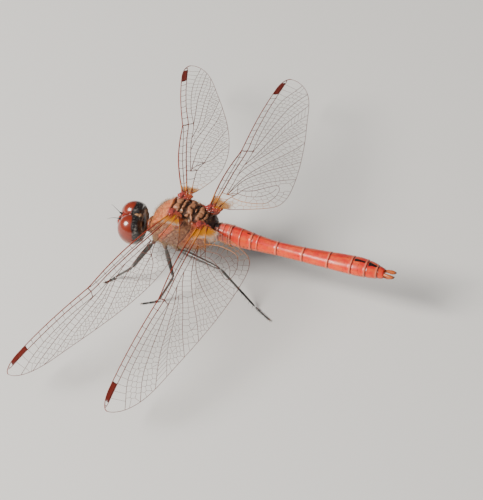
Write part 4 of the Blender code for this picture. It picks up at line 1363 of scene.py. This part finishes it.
def add_leg(kind, side, label):
    shift = np.array(LEGS[kind]["right_shift"]) * (side < 0)
    socket, hip, knee, ankle, toe = (flip(LEGS[kind][joint] + shift * weight, side)
                                     for joint, weight in JOINTS.items())
    limb = Shape()

    def length(path, radii, count, sides, brown=0.0, squash=1.0):
        limb.add(swelling(path, radii, count, sides, squash), brown=brown)

    thigh, shin = knee - hip, ankle - knee
    way, down = unit(thigh), unit(shin)
    thick = THIGH[kind]
    lift = np.array((0.0, 0.0, 0.05))
    length([socket + (0.0, 0.0, 0.35), (socket + hip) / 2, hip], (0.42, 0.4, 0.27), 14, 18,
           0.55)
    length([hip - 0.08 * way, hip + 0.22 * way, hip + 0.5 * way], (0.24, 0.27, 0.2), 10, 16,
           0.45)
    length([hip + 0.35 * way, hip + 0.28 * thigh + lift, hip + 0.62 * thigh + lift,
            hip + 0.9 * thigh, knee + 0.02 * way],
           (0.2, thick, thick * 0.88, thick * 0.66, thick * 0.76), 34, 18, squash=1.1)
    length([knee - 0.02 * down, knee + 0.12 * down, knee + 0.3 * shin, knee + 0.75 * shin,
            ankle - 0.02 * down], (0.17, 0.19, 0.155, 0.14, 0.13), 30, 12)
    add_spines(limb, hip + 0.5 * way, knee, thick, 11, 0.26, 0.2, 0.5, 0.02)
    add_spines(limb, knee, ankle, 0.14, 9, 0.62, 0.42, 0.62, 0.026)
    ground = (toe - ankle) * (1, 1, 0)
    heading = unit(ground)
    beside = np.array((-heading[1], heading[0], 0.0))
    foot = [ankle - (0.0, 0.0, 0.02)] + [
        (ankle + share * ground) * (1, 1, 0) + (0.0, 0.0, height)
        for share, height in ((0.22, 0.17), (0.5, 0.135), (0.86, 0.13))]
    for first, last, radius in zip(foot, foot[1:], (0.125, 0.11, 0.105)):
        length([first, (first + last) / 2, last + 0.05 * (last - first)],
               (radius * 0.8, radius, radius * 1.08), 14, 12)
        for k in range(3):
            for spread, _ in SIDES:
                base = first + (last - first) * (0.35 + 0.28 * k) + beside * spread * radius * 0.7
                tip = base + beside * spread * 0.1 + heading * 0.12
                tip[2] = 0.02
                limb.add(cone(base, tip, 0.016, 4))
    end = foot[-1]
    for spread, _ in SIDES:
        out = 0.14 * ground + 0.13 * spread * beside
        claw = [end, end + 0.45 * out + (0, 0, 0.06), end + 0.85 * out, end + out - (0, 0, 0.1)]
        limb.add(tube(smooth_path(claw, 14), np.linspace(0.06, 0.008, 14), 8), brown=0.5)
    limb.make(f"leg_{kind}_{label}", "leg horn", "leg", *[
        f"leg_{kind}_{label}_{part}" for part in ("coxa", "femur", "tibia", "tarsus")])


# ---------------------------------------------------------------- hairs
def add_coat(name, look, skin, weight, count, reach, radius, lean, size=1.0):
    """Fine hairs as solid tapering blades, each with its patch on the skin's unwrap."""
    grid, normal = skin[:2]
    rows, columns, _ = grid.shape
    size = np.broadcast_to(size, (rows, columns)).reshape(-1)
    weight = weight.reshape(-1)
    chosen = DRAWS.choice(len(weight), count, replace=False, p=weight / weight.sum())
    lengths = DRAWS.uniform(*reach, count) * size[chosen]
    ways = unit(normal.reshape(-1, 3)[chosen] + lean + 0.22 * DRAWS.normal(size=(count, 3)))
    hairs = Shape()
    for root, way, length, place in zip(grid.reshape(-1, 3)[chosen], ways, lengths, chosen):
        patch = (0.99 * (place % columns) / columns, 0.99 * (place // columns) / rows)
        hairs.add(cone(root - 0.03 * way, root + way * length, radius, 3,
                       np.array((0.0, -0.06, 0.05)) * length), patch)
    hairs.make(name, look, "hair")


def add_hairs(thorax, abdomen, face):
    y, z = thorax[0][..., 1], thorax[0][..., 2]
    weight = window(y, -3.5, -3.2, 4.0, 4.6) * (1 - 0.75 * thorax[2])
    weight *= 0.3 + 0.6 * fade(-2.2, -0.8, y) + 0.35 * fade(5.0, 6.5, z)
    add_coat("thorax_hairs", "pale hair", thorax, weight, 5200, (0.2, 0.55), 0.0085,
             (0.0, 0.35, 0.1), 1 - 0.55 * smoothstep(9.6, 10.6, z))
    y, z = abdomen[0][..., 1], abdomen[0][..., 2]
    weight = 0.03 + fade(5.5, 8.5, y) * (1.2 - smoothstep(6.8, 8.6, z))
    add_coat("abdomen_hairs", "pale hair", abdomen, weight * window(y, 5.1, 5.4, 26.6, 26.9),
             1500, (0.1, 0.32), 0.007, (0.0, 0.7, 0.0))
    weight = fade(-1.5, -1.1, face[0][..., 1]) * window(face[2], -2.0, -1.8, 0.75, 0.9)
    add_coat("face_hairs", "dark hair", face, weight, 650, (0.12, 0.3), 0.006, (0.0, -0.1, 0.15))


# ---------------------------------------------------------------- stage, light and camera
FLOOR_HALF = 0.5
SUBJECT = Vector((0.0, 0.0, 0.006))
CAMERA_PLACE = (177.9, 93.9, 209.05)
CAMERA_RIGHT, CAMERA_BACK = (-0.3795, 0.9235, -0.0570), (0.6273, 0.3021, 0.7178)
SENSOR = 36.0
FOCAL_LENGTHS_PER_SENSOR = 4.56


def add_stage():
    paint = Paint("pale floor", Roughness=0.75)
    look = paint.finish(paint.mix(paint.noise(0.02), (0.74, 0.73, 0.71), (0.78, 0.77, 0.75)))
    mesh = bpy.data.meshes.new("floor")
    corners = [(x * FLOOR_HALF, y * FLOOR_HALF, 0)
               for x, y in ((-1, -1), (1, -1), (1, 1), (-1, 1))]
    mesh.from_pydata(corners, [], [(0, 1, 2, 3)])
    mesh.materials.append(look)
    floor = put_in_scene("floor", mesh)


def add_light(name, toward, distance, size, energy, colour):
    lamp = bpy.data.lights.new(name, "AREA")
    lamp.shape = "DISK"
    lamp.size, lamp.energy, lamp.color = size, energy, colour
    item = put_in_scene(name, lamp)
    way = Vector(toward).normalized()
    item.location = SUBJECT + way * distance
    item.rotation_euler = way.to_track_quat("Z", "Y").to_euler()


def add_camera():
    """Looks down on the animal from behind its left side, through a long lens."""
    right, back = Vector(CAMERA_RIGHT).normalized(), Vector(CAMERA_BACK).normalized()
    up = back.cross(right).normalized()
    turn = Matrix((up.cross(back), up, back)).transposed().to_4x4()
    lens = bpy.data.cameras.new("camera")
    lens.sensor_width = SENSOR
    lens.lens = FOCAL_LENGTHS_PER_SENSOR * SENSOR
    lens.clip_start, lens.clip_end = 0.005, 10.0
    camera = put_in_scene("camera", lens)
    camera.matrix_world = Matrix.Translation((Vector(CAMERA_PLACE) + Vector(SHIFT)) * MM) @ turn
    bpy.context.scene.camera = camera


def add_world():
    world = bpy.data.worlds.new("studio")
    world.use_nodes = True
    backdrop = world.node_tree.nodes["Background"].inputs
    backdrop["Color"].default_value = (0.95, 0.97, 1.0, 1.0)
    backdrop["Strength"].default_value = 0.2
    bpy.context.scene.world = world


add_world()
add_stage()
add_camera()
add_light("key", (0.48, -0.58, 0.66), 0.5, 0.24, 5.1, (1.0, 0.96, 0.9))
add_light("fill", (0.9, 0.7, 0.9), 0.7, 0.7, 0.5, (0.95, 0.97, 1.0))
for side, label in SIDES:
    for kind in WINGS:
        for add_part in (add_membrane, add_net, add_spot):
            add_part(f"wing_{kind}_{label}", kind, side)
thorax = add_thorax()
add_wing_joints()
abdomen = add_abdomen()
add_tail()
face = add_head()
for side, label in SIDES:
    for kind in LEGS:
        add_leg(kind, side, label)
add_hairs(thorax, abdomen, face)
